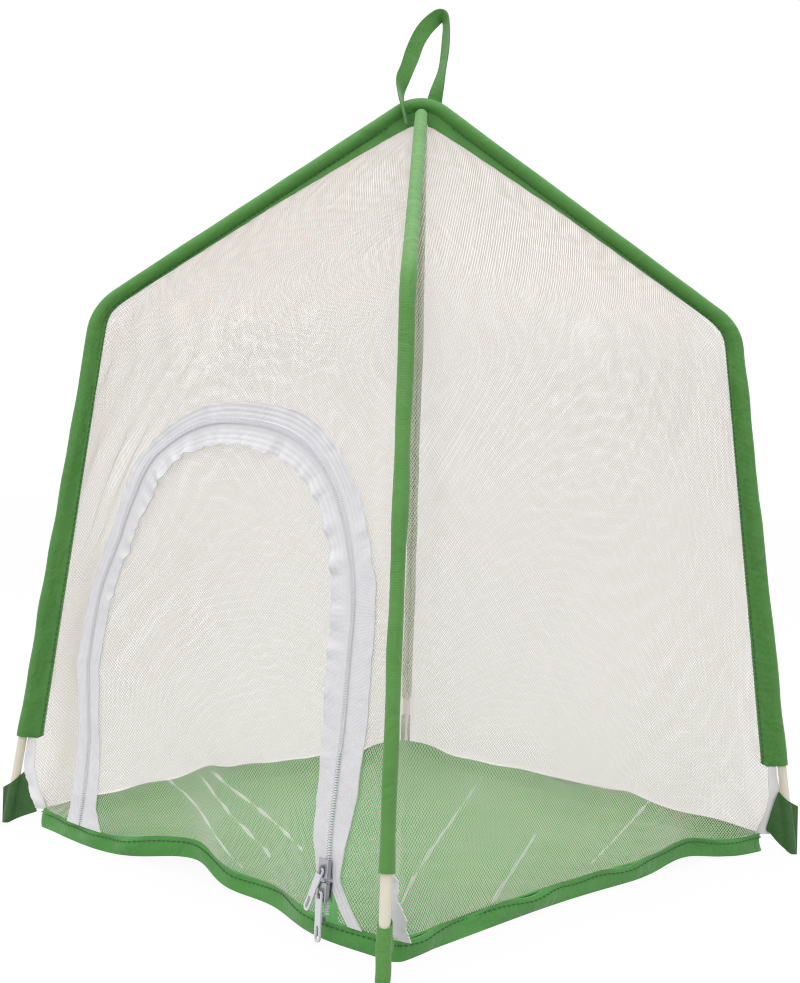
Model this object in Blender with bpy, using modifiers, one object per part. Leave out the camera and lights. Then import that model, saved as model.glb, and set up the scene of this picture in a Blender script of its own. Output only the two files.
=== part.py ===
"""Insect cage with a pyramid roof: two crossed pole arches, sleeved in cloth, hold up a net tent.

Metres, +Z up. The origin is the middle of the floor's underside. The door wall faces -Y.
One arch runs from the front left corner over the top to the back right corner. The other runs
from the front right corner to the back left corner and passes under the first one.
"""
import math

import bmesh
import bpy
import numpy as np
from mathutils import Matrix, Vector

# Gap between pieces that touch or run in each other
CLEARANCE = 0.0003

# Cloth floor and its bound edge
FLOOR_SIDE = 0.300
FLOOR_CLOTH = 0.0010
HEM_HEIGHT = 0.010
HEM_CLOTH = 0.0016

# Pole arches: half diagonals and heights of the straight runs' meeting points
ROD_RADIUS = 0.0026
ROD_BORE_RADIUS = 0.0018
ROD_SIDES = 12
FOOT_STANDOUT = 0.0204
SHOULDER_LEAN_IN = 0.0445
SHOULDER_HEIGHT = 0.308
APEX_HEIGHT = 0.438
SHOULDER_BEND_RADIUS = 0.032
APEX_BEND_RADIUS = 0.022
ELBOW_COLLAR = 0.003
ELBOW_STEP = 0.0002
SPIGOT_LENGTH = 0.014
SPIGOT_CHAMFER = 0.0006

# Cloth sleeves round the poles, with a sewn flange that runs in to the net's seam
SLEEVE_CLOTH = 0.0007
SLEEVE_FOOT_HEIGHT = 0.055
SLEEVE_SIDES = 12
LEG_FLANGE_FOOT = 0.0079
LEG_FLANGE_SHOULDER = 0.0021
FLANGE_CLOTH = 0.0012
FLANGE_FADE = 0.008
SLEEVE_TOP_GAP = 0.0015

# Net panels
NET_THICKNESS = 0.0008
NET_PITCH = 0.039
NET_STRAND = 0.0022
NET_BORDER = 0.005
NET_CORNER_GAP = 0.0010
SEAM_ROUNDING = 0.004
PANEL_ROUNDING = 0.010
APEX_ROUNDING = 0.006
FLAT_SHARE = 0.88
PROFILE_STEPS = 400

# Corner pockets that hold the pole feet
POCKET_HEIGHT = 0.034
POCKET_WIDTH = 0.0165
POCKET_CLOTH = 0.0009
POCKET_OUTER_HEIGHT = 0.025
POCKET_SEAM_HEIGHT = 0.006
POCKET_SOLE = 0.0012
POCKET_TOE = 0.0032
CORNER_TAPE_WIDTH = 0.007
CORNER_TAPE_CLOTH = 0.0008

# Zipped arch door, whose left leg stands out at its foot
DOOR_OFFSET = 0.010
DOOR_WIDTH_SHARE = 0.3317
DOOR_LEFT_FLARE = 0.018
DOOR_SPRING_HEIGHT = 0.139
DOOR_FOLD_GAP = 0.0035
ARCH_STEPS = 20
ZIP_TAPE_WIDTH = 0.0119
ZIP_TAPE_CLOTH = 0.0005
ZIP_COIL_WIDTH = 0.0015
ZIP_COIL_HEIGHT = 0.0014
ZIP_SLOT = 0.0012
ZIP_SEW_MARGIN = 0.003
ZIP_STOP_WIDTH = 0.0046
ZIP_STOP_LENGTH = 0.0022

# Zip sliders and their pulls
SLIDER_WIDTH = 0.0066
SLIDER_LENGTH = 0.0090
SLIDER_PLATE = 0.0008
SLIDER_NECK = 0.0006
SLIDER_NECK_LENGTH = 0.0018
SLIDER_BEVEL = 0.0007
SLIDER_LOWER_PLACE = 0.0135
SLIDER_SPACING = 0.0107
BAIL_WIDTH = 0.0008
BAIL_LENGTH = 0.0034
BAIL_HEIGHT = 0.0026
BAIL_BAR = 0.0008
BAIL_CORNER = 0.0008
PULL_LENGTH = 0.0225
PULL_WIDTH = 0.0038
PULL_EYE_WIDTH = 0.0038
PULL_EYE_SIDE = 0.0007
PULL_EYE_CORNER = 0.0009
PULL_THICKNESS = 0.0009
PULL_EYE_LENGTH = 0.0030
PULL_SLOT_LENGTH = 0.0065
PULL_SLOT_WIDTH = 0.0018
PULL_UPPER_TILT = math.radians(22)
PULL_LOWER_TILT = math.radians(-4)

# Hanging loop of ribbon on the top
RIBBON_WIDTH = 0.0085
RIBBON_CLOTH = 0.0009
LOOP_HEIGHT = 0.0550
LOOP_HALF_WIDTH = 0.0125
LOOP_FOOT_HALF = 0.0095
LOOP_FOOT_SHIFT = -0.0020
LOOP_TOP_SHIFT = 0.0090
LOOP_FOLD_GAP = 0.0007
LOOP_STEPS = 24
LOOP_TWIST_SHARES = (0, 0.25, 0.5, 0.75, 1)
LOOP_TWISTS = (90, 75, 40, 8, 90)
LOOP_END_TURN = math.radians(-25)

# Pieces whose own origin lies on their joint's axis
MOVING_NODES = ("slider_lower", "slider_upper", "pull_lower", "pull_upper", "hanging_loop")

# Overrun of every cutter past what it cuts
OVERRUN = 0.002

# Corners, by the signs of X and Y
CORNERS = {
    "front_left": (-1, -1),
    "front_right": (1, -1),
    "back_right": (1, 1),
    "back_left": (-1, 1),
}
OVER_CORNERS = ("front_left", "back_right")
UNDER_CORNERS = ("front_right", "back_left")
# Quarter turns about Z that carry the front panel to each wall
WALLS = {"front": 0, "right": 1, "back": 2, "left": 3}

FLOOR_CORNER = FLOOR_SIDE / math.sqrt(2)
FOOT_REACH = FLOOR_CORNER + FOOT_STANDOUT
SHOULDER_REACH = FOOT_REACH - SHOULDER_LEAN_IN
DOOR_HALF_WIDTH = FLOOR_SIDE * DOOR_WIDTH_SHARE
SLEEVE_BORE = ROD_RADIUS + CLEARANCE
SLEEVE_RADIUS = SLEEVE_BORE + SLEEVE_CLOTH
SPIGOT_RADIUS = ROD_BORE_RADIUS - CLEARANCE
ARCH_DROP = 2 * SLEEVE_RADIUS + CLEARANCE


def clear_scene():
    for ob in list(bpy.data.objects):
        bpy.data.objects.remove(ob, do_unlink=True)


def new_collection(name):
    col = bpy.data.collections.new(name)
    bpy.context.scene.collection.children.link(col)
    return col


clear_scene()
CAGE = new_collection("insect_cage")
CUTTERS = new_collection("cutters")


def material(name, hexcode, roughness, metallic=0.0):
    """A Principled material from an sRGB hex colour."""
    srgb = [int(hexcode[i : i + 2], 16) / 255 for i in (0, 2, 4)]
    linear = [c / 12.92 if c <= 0.04045 else ((c + 0.055) / 1.055) ** 2.4 for c in srgb]
    mat = bpy.data.materials.new(name)
    mat.use_nodes = True
    shader = mat.node_tree.nodes["Principled BSDF"]
    shader.inputs["Base Color"].default_value = (*linear, 1.0)
    shader.inputs["Roughness"].default_value = roughness
    shader.inputs["Metallic"].default_value = metallic
    mat.diffuse_color = (*linear, 1.0)
    return mat


GREEN_CLOTH = material("green_polyester_cloth", "4a9447", 0.85)
WHITE_NET = material("white_polyester_net", "ece9e6", 0.8)
WHITE_TAPE = material("white_woven_tape", "f0eff1", 0.8)
WHITE_COIL = material("white_nylon_coil", "f4f4f4", 0.4)
CREAM_ROD = material("cream_plastic_rod", "e6e1cf", 0.45)
GREY_ELBOW = material("grey_moulded_plastic", "b9b9b4", 0.5)
WHITE_METAL = material("white_painted_zinc", "dcdde2", 0.35)


def add_object(name, mesh, mat, collection=CAGE, smooth=True):
    """A finished mesh becomes a named object of the cage, or a cutter."""
    ob = bpy.data.objects.new(name, mesh)
    collection.objects.link(ob)
    if mat is not None:
        mesh.materials.clear()
        mesh.materials.append(mat)
    if smooth:
        mesh.shade_smooth()
        mesh.set_sharp_from_angle(angle=math.radians(35))
    return ob


def mesh_from(bm, name):
    bmesh.ops.recalc_face_normals(bm, faces=bm.faces)
    mesh = bpy.data.meshes.new(name)
    bm.to_mesh(mesh)
    bm.free()
    return mesh


def curve_to_mesh(ob, name):
    """The evaluated curve as a mesh with its caps welded; the curve object is removed."""
    evaluated = ob.evaluated_get(bpy.context.evaluated_depsgraph_get())
    mesh = bpy.data.meshes.new_from_object(evaluated)
    mesh.transform(ob.matrix_world)
    data = ob.data
    bpy.data.objects.remove(ob, do_unlink=True)
    bpy.data.curves.remove(data)
    bm = bmesh.new()
    bm.from_mesh(mesh)
    bpy.data.meshes.remove(mesh)
    bmesh.ops.remove_doubles(bm, verts=bm.verts, dist=CLEARANCE / 100)
    return mesh_from(bm, name)


def flat_plate(name, outlines, thickness):
    """A flat plate in the XY plane from closed outlines: the first is its edge, the rest its holes."""
    curve = bpy.data.curves.new(name, "CURVE")
    curve.dimensions = "2D"
    curve.fill_mode = "BOTH"
    curve.extrude = thickness / 2
    for outline in outlines:
        spline = curve.splines.new("POLY")
        spline.points.add(len(outline) - 1)
        for point, (x, y) in zip(spline.points, outline):
            point.co = (x, y, 0, 1)
        spline.use_cyclic_u = True
    ob = bpy.data.objects.new(name, curve)
    CUTTERS.objects.link(ob)
    bpy.context.view_layer.update()
    return curve_to_mesh(ob, name)


def box(name, low, high):
    """A box mesh between two corners."""
    low, high = Vector(low), Vector(high)
    bm = bmesh.new()
    bmesh.ops.create_cube(bm, size=1.0)
    bmesh.ops.scale(bm, vec=high - low, verts=bm.verts)
    bmesh.ops.translate(bm, vec=(low + high) / 2, verts=bm.verts)
    return mesh_from(bm, name)


def cylinder_between(name, start, end, radius, sides=ROD_SIDES):
    """A solid cylinder mesh from start to end."""
    start, end = Vector(start), Vector(end)
    run = end - start
    bm = bmesh.new()
    bmesh.ops.create_cone(
        bm, cap_ends=True, segments=sides, radius1=radius, radius2=radius, depth=run.length
    )
    turn = run.to_track_quat("Z", "Y").to_matrix().to_4x4()
    bmesh.ops.transform(bm, matrix=Matrix.Translation((start + end) / 2) @ turn, verts=bm.verts)
    return mesh_from(bm, name)


def boolean(ob, mesh, operation):
    """Joins or cuts ob with a mesh, which is kept as a hidden cutter."""
    cutter = add_object(f"{ob.name}_{operation.lower()}", mesh, None, CUTTERS, smooth=False)
    cutter.parent = ob
    cutter.hide_render = True
    cutter.display_type = "WIRE"
    mod = ob.modifiers.new(operation.title(), "BOOLEAN")
    mod.operation = operation
    mod.solver = "EXACT"
    mod.object = cutter
    return cutter


def bevel(ob, width, segments=2):
    mod = ob.modifiers.new("Bevel", "BEVEL")
    mod.width = width
    mod.segments = segments
    mod.limit_method = "ANGLE"
    return mod


# Pole geometry, in the upright plane through two opposite corners: (reach, height)


def unit(vector):
    return vector / np.linalg.norm(vector)


def along(start, end, distance):
    """The point at a distance from start on the way to end."""
    start, end = np.array(start, float), np.array(end, float)
    return start + unit(end - start) * distance


def bend(before, corner, after, radius, steps=5):
    """The arc that rounds a corner: its points from tangent point to tangent point."""
    a, b, c = (np.array(p, float) for p in (before, corner, after))
    inward, outward = unit(a - b), unit(c - b)
    half = math.acos(float(np.clip(inward @ outward, -1, 1))) / 2
    tangent = radius / math.tan(half)
    start, end = b + inward * tangent, b + outward * tangent
    centre = b + unit(inward + outward) * radius / math.sin(half)
    first = math.atan2(*(start - centre)[::-1])
    last = math.atan2(*(end - centre)[::-1])
    sweep = (last - first + math.pi) % (2 * math.pi) - math.pi
    angles = first + sweep * np.linspace(0, 1, steps + 1)
    return centre + radius * np.stack([np.cos(angles), np.sin(angles)], axis=1)


def arch_corners(over):
    """Foot, shoulder and apex of one half of an arch."""
    apex = APEX_HEIGHT if over else APEX_HEIGHT - ARCH_DROP
    return (
        np.array([FOOT_REACH, 0.0]),
        np.array([SHOULDER_REACH, SHOULDER_HEIGHT]),
        np.array([0.0, apex]),
    )


def shoulder_arc(over):
    foot, shoulder, apex = arch_corners(over)
    return bend(foot, shoulder, apex, SHOULDER_BEND_RADIUS)


def apex_arc(over):
    """The bend at the top, from the +reach side to the -reach side."""
    foot, shoulder, apex = arch_corners(over)
    mirrored = shoulder * np.array([-1, 1])
    return bend(shoulder, apex, mirrored, APEX_BEND_RADIUS, steps=8)


def in_space(corner, point):
    """A (reach, height) point of the plane through a corner, as X, Y, Z."""
    sx, sy = CORNERS[corner]
    reach, height = point
    return Vector((sx * reach / math.sqrt(2), sy * reach / math.sqrt(2), height))


# Seam of the net panels, in the same plane, and the panels' own surface


def apex_top(over):
    """Height of the pole's centre line at the very top."""
    return float(apex_arc(over)[:, 1].max())


SEAM_SHOULDER = np.array(
    [
        SHOULDER_REACH - SLEEVE_RADIUS - LEG_FLANGE_SHOULDER,
        SHOULDER_HEIGHT - SLEEVE_RADIUS - LEG_FLANGE_SHOULDER + CLEARANCE,
    ]
)
POLE_LEAN = (FOOT_REACH - SHOULDER_REACH) / SHOULDER_HEIGHT
SEAM_FOOT = FOOT_REACH - POLE_LEAN * SLEEVE_FOOT_HEIGHT - SLEEVE_RADIUS - LEG_FLANGE_FOOT
SEAM_TOP = apex_top(False) - SLEEVE_RADIUS - CLEARANCE - NET_THICKNESS
ROOF_SHARE = APEX_ROUNDING / SEAM_SHOULDER[0]
SEAM_APEX = (SEAM_TOP - SEAM_SHOULDER[1] * ROOF_SHARE) / (1 - ROOF_SHARE)
ROOF_SLOPE = (SEAM_APEX - SEAM_SHOULDER[1]) / SEAM_SHOULDER[0]


def soft_min(a, b, rounding):
    """The smaller of two lengths, with the change from one to the other rounded."""
    return -rounding * np.logaddexp(-a / rounding, -b / rounding)


def roof_reach(z):
    """Half diagonal of the roof's seam at a height, rounded at the apex."""
    raw = (SEAM_APEX - z) / ROOF_SLOPE
    return np.sqrt(np.maximum(raw**2 - APEX_ROUNDING**2, 0))


def seam_reach(z):
    """Half diagonal of the panels' corner seam at a height."""
    z = np.asarray(z, float)
    heights = [HEM_HEIGHT, SLEEVE_FOOT_HEIGHT, SEAM_SHOULDER[1], SEAM_TOP]
    slope = (SEAM_SHOULDER[0] - SEAM_FOOT) / (SEAM_SHOULDER[1] - SLEEVE_FOOT_HEIGHT)
    top = SEAM_SHOULDER[0] + slope * (SEAM_TOP - SEAM_SHOULDER[1])
    leg = np.interp(z, heights, [FLOOR_CORNER, SEAM_FOOT, SEAM_SHOULDER[0], top])
    return soft_min(leg, roof_reach(z), SEAM_ROUNDING)


def panel_middle(z):
    """How far out the middle of a panel stands at a height."""
    z = np.asarray(z, float)
    slope = (SEAM_SHOULDER[0] / math.sqrt(2) - FLOOR_SIDE / 2) / (SEAM_SHOULDER[1] - HEM_HEIGHT)
    wall = FLOOR_SIDE / 2 + slope * (z - HEM_HEIGHT)
    return soft_min(wall, roof_reach(z) / math.sqrt(2), PANEL_ROUNDING)


def profile():
    """The panel's middle line as arc length, height and distance out."""
    low = HEM_HEIGHT + CLEARANCE
    high = SEAM_TOP - APEX_ROUNDING * ROOF_SLOPE / 2
    z = low + (high - low) * np.linspace(0, 1, PROFILE_STEPS)
    out = panel_middle(z)
    length = np.concatenate([[0.0], np.cumsum(np.hypot(np.diff(z), np.diff(out)))])
    return length, z, out


PROFILE_V, PROFILE_Z, PROFILE_OUT = profile()
PANEL_LENGTH = float(PROFILE_V[-1])
WALL_TILT = math.atan2(PROFILE_OUT[0] - PROFILE_OUT[PROFILE_STEPS // 4],
                       PROFILE_Z[PROFILE_STEPS // 4] - PROFILE_Z[0])


def height_at(v):
    return np.interp(v, PROFILE_V, PROFILE_Z)


def run_to(height):
    """Arc length of the panel's middle line up to a height."""
    return float(np.interp(height, PROFILE_Z, PROFILE_V))


def half_width(v):
    """Half the width of a panel at an arc length."""
    return seam_reach(height_at(v)) / math.sqrt(2)


def on_panel(x, v, lift=0.0):
    """Points of the front panel's surface, raised by lift off it, as arrays X, Y, Z."""
    x, v, lift = np.broadcast_arrays(*(np.asarray(a, float) for a in (x, v, lift)))
    step = PANEL_LENGTH / PROFILE_STEPS
    z = height_at(v)
    before, after = np.clip(v - step, 0, PANEL_LENGTH), np.clip(v + step, 0, PANEL_LENGTH)
    rise = height_at(after) - height_at(before)
    run = np.interp(after, PROFILE_V, PROFILE_OUT) - np.interp(before, PROFILE_V, PROFILE_OUT)
    size = np.hypot(rise, run)
    middle, edge = np.interp(v, PROFILE_V, PROFILE_OUT), half_width(v)
    flat = edge * FLAT_SHARE
    toward = np.clip((np.abs(x) - flat) / (edge - flat), 0, 1)
    out = middle + (edge - middle) * toward**2
    return np.stack([x, -(out + lift * rise / size), z - lift * run / size], axis=-1)


def left_flare(x, v):
    """How far the door wall's cloth moves to the left at a place: most at the zip's left foot."""
    near, far = (DOOR_OFFSET - DOOR_HALF_WIDTH + s * ZIP_TAPE_WIDTH for s in (1, -1))
    share = np.interp(x, [-FLOOR_SIDE / 2, far, near, DOOR_OFFSET], [0, 1, 1, 0])
    return DOOR_LEFT_FLARE * share * np.clip(1 - v / run_to(DOOR_SPRING_HEIGHT), 0, 1)


def place_on_panel(mesh, lift, turns=0):
    """Bends a flat plate, drawn in x and arc length, onto a wall, with its middle lifted off it."""
    points = np.empty(len(mesh.vertices) * 3, np.float32)
    mesh.vertices.foreach_get("co", points)
    flat = points.reshape(-1, 3).astype(float)
    if turns == WALLS["front"]:
        flat[:, 0] -= left_flare(flat[:, 0], flat[:, 1])
    bent = on_panel(flat[:, 0], flat[:, 1], lift + flat[:, 2])
    spin = np.array(Matrix.Rotation(turns * math.pi / 2, 3, "Z"))
    mesh.vertices.foreach_set("co", (bent @ spin.T).astype(np.float32).ravel())
    mesh.update()
    return mesh


# Poles


def tube_rod(name, start, end):
    """A hollow rod: a turned wall, placed from start to end."""
    start, end = Vector(start), Vector(end)
    length = (end - start).length
    mesh = bpy.data.meshes.new(name)
    corners = [
        (ROD_RADIUS, 0, length),
        (ROD_RADIUS, 0, 0),
        (ROD_BORE_RADIUS, 0, 0),
        (ROD_BORE_RADIUS, 0, length),
    ]
    mesh.from_pydata(corners, [(0, 1), (1, 2), (2, 3), (3, 0)], [])
    ob = add_object(name, mesh, CREAM_ROD, smooth=False)
    screw = ob.modifiers.new("Screw", "SCREW")
    screw.steps = ROD_SIDES
    screw.render_steps = ROD_SIDES
    screw.use_merge_vertices = True
    screw.merge_threshold = CLEARANCE / 100
    screw.use_smooth_shade = True
    ob.location = start
    ob.rotation_mode = "QUATERNION"
    ob.rotation_quaternion = (end - start).to_track_quat("Z", "Y")
    return ob


def bent_connector(name, corner_of, arc, before, after):
    """A moulded bend with a spigot at each end, which point to the places before and after it."""
    back, ahead = unit(before - arc[0]), unit(after - arc[-1])
    share = SPIGOT_RADIUS / ROD_RADIUS
    tip = share - SPIGOT_CHAMFER / ROD_RADIUS
    reach = [
        (ELBOW_COLLAR + SPIGOT_LENGTH, tip),
        (ELBOW_COLLAR + SPIGOT_LENGTH - SPIGOT_CHAMFER, share),
        (ELBOW_COLLAR + ELBOW_STEP, share),
        (ELBOW_COLLAR, 1.0),
    ]
    stations = [(arc[0] + back * d, r) for d, r in reach]
    stations += [(p, 1.0) for p in arc]
    stations += [(arc[-1] + ahead * d, r) for d, r in reversed(reach)]
    curve = bpy.data.curves.new(name, "CURVE")
    curve.dimensions = "3D"
    curve.bevel_depth = ROD_RADIUS
    curve.bevel_resolution = 2
    curve.use_fill_caps = True
    curve.twist_mode = "MINIMUM"
    spline = curve.splines.new("POLY")
    spline.points.add(len(stations) - 1)
    for point, (place, radius) in zip(spline.points, stations):
        point.co = (*in_space(corner_of, place), 1)
        point.radius = radius
    curve.materials.append(GREY_ELBOW)
    ob = bpy.data.objects.new(name, curve)
    CAGE.objects.link(ob)
    return ob


def make_arch(over, corners):
    """Two legs, two shoulder elbows, two roof rods and the bend at the apex."""
    foot, shoulder, apex = arch_corners(over)
    low, high = shoulder_arc(over), apex_arc(over)
    grip = ELBOW_COLLAR + CLEARANCE
    stand = POCKET_SOLE + CLEARANCE
    for corner in corners:
        base = along(foot, shoulder, stand)
        tube_rod(f"leg_rod_{corner}", in_space(corner, base),
                 in_space(corner, along(low[0], foot, grip)))
        tube_rod(f"roof_rod_{corner}", in_space(corner, along(low[-1], apex, grip)),
                 in_space(corner, along(high[0], shoulder, grip)))
        bent_connector(f"shoulder_elbow_{corner}", corner, low, foot, apex)
    name = "apex_bend_over" if over else "apex_bend_under"
    bent_connector(name, corners[0], high, shoulder, shoulder * np.array([-1, 1]))


# Sleeves


def flange_reach(place, inward):
    """How far in from the pole's middle line the net's seam lies, less its clearance."""
    near, far = SLEEVE_RADIUS, SLEEVE_RADIUS + APEX_BEND_RADIUS
    for _ in range(40):
        middle = (near + far) / 2
        reach, height = place + inward * middle
        outside = height > SEAM_TOP or abs(reach) > seam_reach(height)
        near, far = (middle, far) if outside else (near, middle)
    return near - CLEARANCE


def sleeve_section(place, tangent, fade):
    """Outer and inner ring of a sleeve at one station, as (across, inward) pairs."""
    inward = np.array([tangent[1], -tangent[0]])
    if inward @ np.array([place[0], 1.0]) > 0:
        inward = -inward
    full = max(flange_reach(place, inward), SLEEVE_RADIUS + CLEARANCE)
    tip = SLEEVE_RADIUS + CLEARANCE + (full - SLEEVE_RADIUS - CLEARANCE) * fade
    opening = math.asin(FLANGE_CLOTH / 2 / SLEEVE_RADIUS)
    turns = opening + (2 * math.pi - 2 * opening) * np.linspace(0, 1, SLEEVE_SIDES - 2)
    outer = [(SLEEVE_RADIUS * math.sin(t), SLEEVE_RADIUS * math.cos(t)) for t in turns]
    outer += [(-FLANGE_CLOTH / 2, tip), (FLANGE_CLOTH / 2, tip)]
    first = math.pi / SLEEVE_SIDES
    inner = [
        (SLEEVE_BORE * math.sin(t), SLEEVE_BORE * math.cos(t))
        for t in first * 2 + 2 * math.pi * np.arange(SLEEVE_SIDES) / SLEEVE_SIDES
    ]
    return inward, outer, inner


def loft_sleeve(name, corner, stations):
    """A cloth tube with its flange, carried along stations of (place, fade)."""
    places = np.array([s[0] for s in stations])
    ahead = np.gradient(places, axis=0)
    ahead /= np.linalg.norm(ahead, axis=1, keepdims=True)
    sx, sy = CORNERS[corner]
    across = Vector((sy, -sx, 0)).normalized()
    bm = bmesh.new()
    rings = []
    for (place, fade), tangent in zip(stations, ahead):
        inward, outer, inner = sleeve_section(np.array(place), tangent, fade)
        ring = []
        for pairs in (outer, inner):
            points = [in_space(corner, place + inward * i) + across * a for a, i in pairs]
            ring.append([bm.verts.new(p) for p in points])
        rings.append(ring)
    sides = SLEEVE_SIDES
    for skin in (0, 1):
        for here, there in zip(rings, rings[1:]):
            for k in range(sides):
                j = (k + 1) % sides
                bm.faces.new((here[skin][k], here[skin][j], there[skin][j], there[skin][k]))
    for ring in (rings[0], rings[-1]):
        for k in range(sides):
            j = (k + 1) % sides
            bm.faces.new((ring[0][k], ring[0][j], ring[1][j], ring[1][k]))
    return add_object(name, mesh_from(bm, name), GREEN_CLOTH)


def half_stations(over, top):
    """Stations of one half of an arch, from the sleeve's foot up to the reach called top."""
    foot, shoulder, apex = arch_corners(over)
    low, high = shoulder_arc(over), apex_arc(over)
    start = foot + (shoulder - foot) * SLEEVE_FOOT_HEIGHT / SHOULDER_HEIGHT
    legs = [start + (low[0] - start) * s for s in np.linspace(0, 1, 4)[:-1]]
    roof = [low[-1] + (high[0] - low[-1]) * s for s in np.linspace(0, 1, 4)[1:-1]]
    bend_part = [p for p in high if p[0] > top]
    fade_start = SLEEVE_RADIUS + 2 * CLEARANCE
    places = legs + list(low) + roof + bend_part
    if over:
        return [(p, float(np.clip((p[0] - fade_start) / FLANGE_FADE, 0, 1))) for p in places]
    return [(p, 1.0) for p in places]


def make_sleeves():
    half = half_stations(True, 0.0)
    top = [(np.array([0.0, apex_top(True)]), 0.0)]
    mirrored = [(p * np.array([-1, 1]), fade) for p, fade in reversed(half)]
    loft_sleeve("sleeve_over", "front_left", half + top + mirrored)
    for corner in UNDER_CORNERS:
        loft_sleeve(f"sleeve_{corner}", corner, half_stations(False, SLEEVE_TOP_GAP))


# Corner pockets and the white seam tapes above the floor's corners


def stand_in_corner(mesh, corner):
    """Turns a plate drawn in (reach, height) upright into the plane through a corner."""
    sx, sy = CORNERS[corner]
    out = Vector((sx, sy, 0)).normalized()
    upright = Matrix((out, Vector((0, 0, 1)), out.cross(Vector((0, 0, 1))))).transposed()
    mesh.transform(upright.to_4x4())
    return mesh


POCKET_SEAM = (FLOOR_CORNER + CLEARANCE, POCKET_SEAM_HEIGHT)
POCKET_TOP = (FOOT_REACH + POCKET_TOE - POCKET_WIDTH, POCKET_HEIGHT)


def make_pocket(corner):
    """A flat pouch of two cloth layers with the pole's foot in a tube between them."""
    foot, shoulder, _ = arch_corners(True)
    radius = ROD_RADIUS + CLEARANCE + POCKET_CLOTH
    toe = FOOT_REACH + POCKET_TOE
    outline = [
        (toe - 2 * POCKET_TOE, 0),
        (toe, 0),
        (toe, POCKET_OUTER_HEIGHT),
        POCKET_TOP,
        POCKET_SEAM,
    ]
    plate = stand_in_corner(flat_plate(f"pocket_{corner}", [outline], 2 * POCKET_CLOTH), corner)
    ob = add_object(f"corner_pocket_{corner}", plate, GREEN_CLOTH)
    lift = radius * POLE_LEAN + CLEARANCE
    lower, upper = along(foot, shoulder, lift), along(foot, shoulder, POCKET_OUTER_HEIGHT)
    tube = cylinder_between("tube", in_space(corner, lower), in_space(corner, upper), radius)
    boolean(ob, tube, "UNION")
    floor_of_bore = along(foot, shoulder, POCKET_SOLE)
    past = along(foot, shoulder, POCKET_HEIGHT + OVERRUN)
    bore = cylinder_between("bore", in_space(corner, floor_of_bore), in_space(corner, past),
                            ROD_RADIUS + CLEARANCE)
    boolean(ob, bore, "DIFFERENCE")
    return ob


def under_sleeve(reach):
    """Height just under the sleeve's foot, whose cut is square to the leaning pole."""
    pole = FOOT_REACH - POLE_LEAN * SLEEVE_FOOT_HEIGHT
    return SLEEVE_FOOT_HEIGHT - (pole - reach) * POLE_LEAN - 2 * CLEARANCE


def make_corner_tape(corner):
    """The white strip of seam allowance from the sleeve's foot down to the floor's corner."""
    low = HEM_HEIGHT + CLEARANCE
    inner, outer = SEAM_FOOT + 2 * CLEARANCE, SEAM_FOOT + CORNER_TAPE_WIDTH
    heights, reaches = (POCKET_SEAM[1], POCKET_TOP[1]), (POCKET_SEAM[0], POCKET_TOP[0])
    outline = [
        (float(seam_reach(low)) + 2 * CLEARANCE, low),
        (float(np.interp(low, heights, reaches)) - CLEARANCE, low),
        (POCKET_TOP[0] - 2 * CLEARANCE, POCKET_HEIGHT),
        (outer, under_sleeve(outer)),
        (inner, under_sleeve(inner)),
    ]
    mesh = stand_in_corner(flat_plate(f"tape_{corner}", [outline], CORNER_TAPE_CLOTH), corner)
    return add_object(f"corner_tape_{corner}", mesh, WHITE_TAPE)


# Net panels


def clip(polygon, point, normal):
    """The part of a convex polygon on the side of a line that its normal points to."""
    kept = []
    for a, b in zip(polygon, polygon[1:] + polygon[:1]):
        da, db = (a - point) @ normal, (b - point) @ normal
        if da >= 0:
            kept.append(a)
        if da * db < 0:
            kept.append(a + (b - a) * da / (da - db))
    return kept


def area(polygon):
    x, y = np.array(polygon).T
    return abs(float(x @ np.roll(y, -1) - y @ np.roll(x, -1))) / 2


def tidy(polygon):
    """The polygon without corners that nearly meet their neighbour."""
    kept = []
    for p, q in zip(polygon, polygon[1:] + polygon[:1]):
        if np.linalg.norm(q - p) > NET_STRAND:
            kept.append(p)
    return kept


def net_gaps(limits):
    """Diamond gaps of the net, cut off at each limit, which gives a point and normal for a cell."""
    half_gap = (NET_PITCH - NET_STRAND) / math.sqrt(2)
    step = NET_PITCH / math.sqrt(2)
    columns = int(FLOOR_SIDE / step) + 2
    rows = int(PANEL_LENGTH / step) + 2
    diamond = [np.array(c) * half_gap for c in ((0, -1), (1, 0), (0, 1), (-1, 0))]
    gaps = []
    for i in range(-columns, columns + 1):
        for j in range(-1, rows + 1):
            if (i + j) % 2:
                continue
            centre = np.array([i * step, j * step])
            cell = [centre + corner for corner in diamond]
            for limit in limits:
                for point, normal in limit(centre):
                    cell = clip(cell, point, normal) if len(cell) > 2 else cell
            cell = tidy(cell) if len(cell) > 2 else cell
            if len(cell) > 2 and area(cell) > half_gap**2 / 6:
                gaps.append(cell)
    return gaps


def line_limit(a, b, margin):
    """A straight edge from a to b, whose left side is kept, drawn in by a margin."""
    a, b = np.array(a, float), np.array(b, float)
    normal = np.array([a[1] - b[1], b[0] - a[0]]) / np.linalg.norm(b - a)
    return lambda centre: [(a + normal * margin, normal)]


def arch_centre(low):
    return np.array([DOOR_OFFSET, max(run_to(DOOR_SPRING_HEIGHT), low)])


def arch_limit(half, outside):
    """The door's arch as a limit: the tangent at the arch's point nearest to the cell."""
    centre_of = arch_centre(0)

    def limit(cell):
        offset = cell - centre_of
        if offset[1] < 0:
            offset = np.array([offset[0], 0.0])
        away = offset / max(np.linalg.norm(offset), CLEARANCE)
        base = np.array([centre_of[0], min(cell[1], centre_of[1])])
        return [(base + away * half, away if outside else -away)]

    return limit


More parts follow.
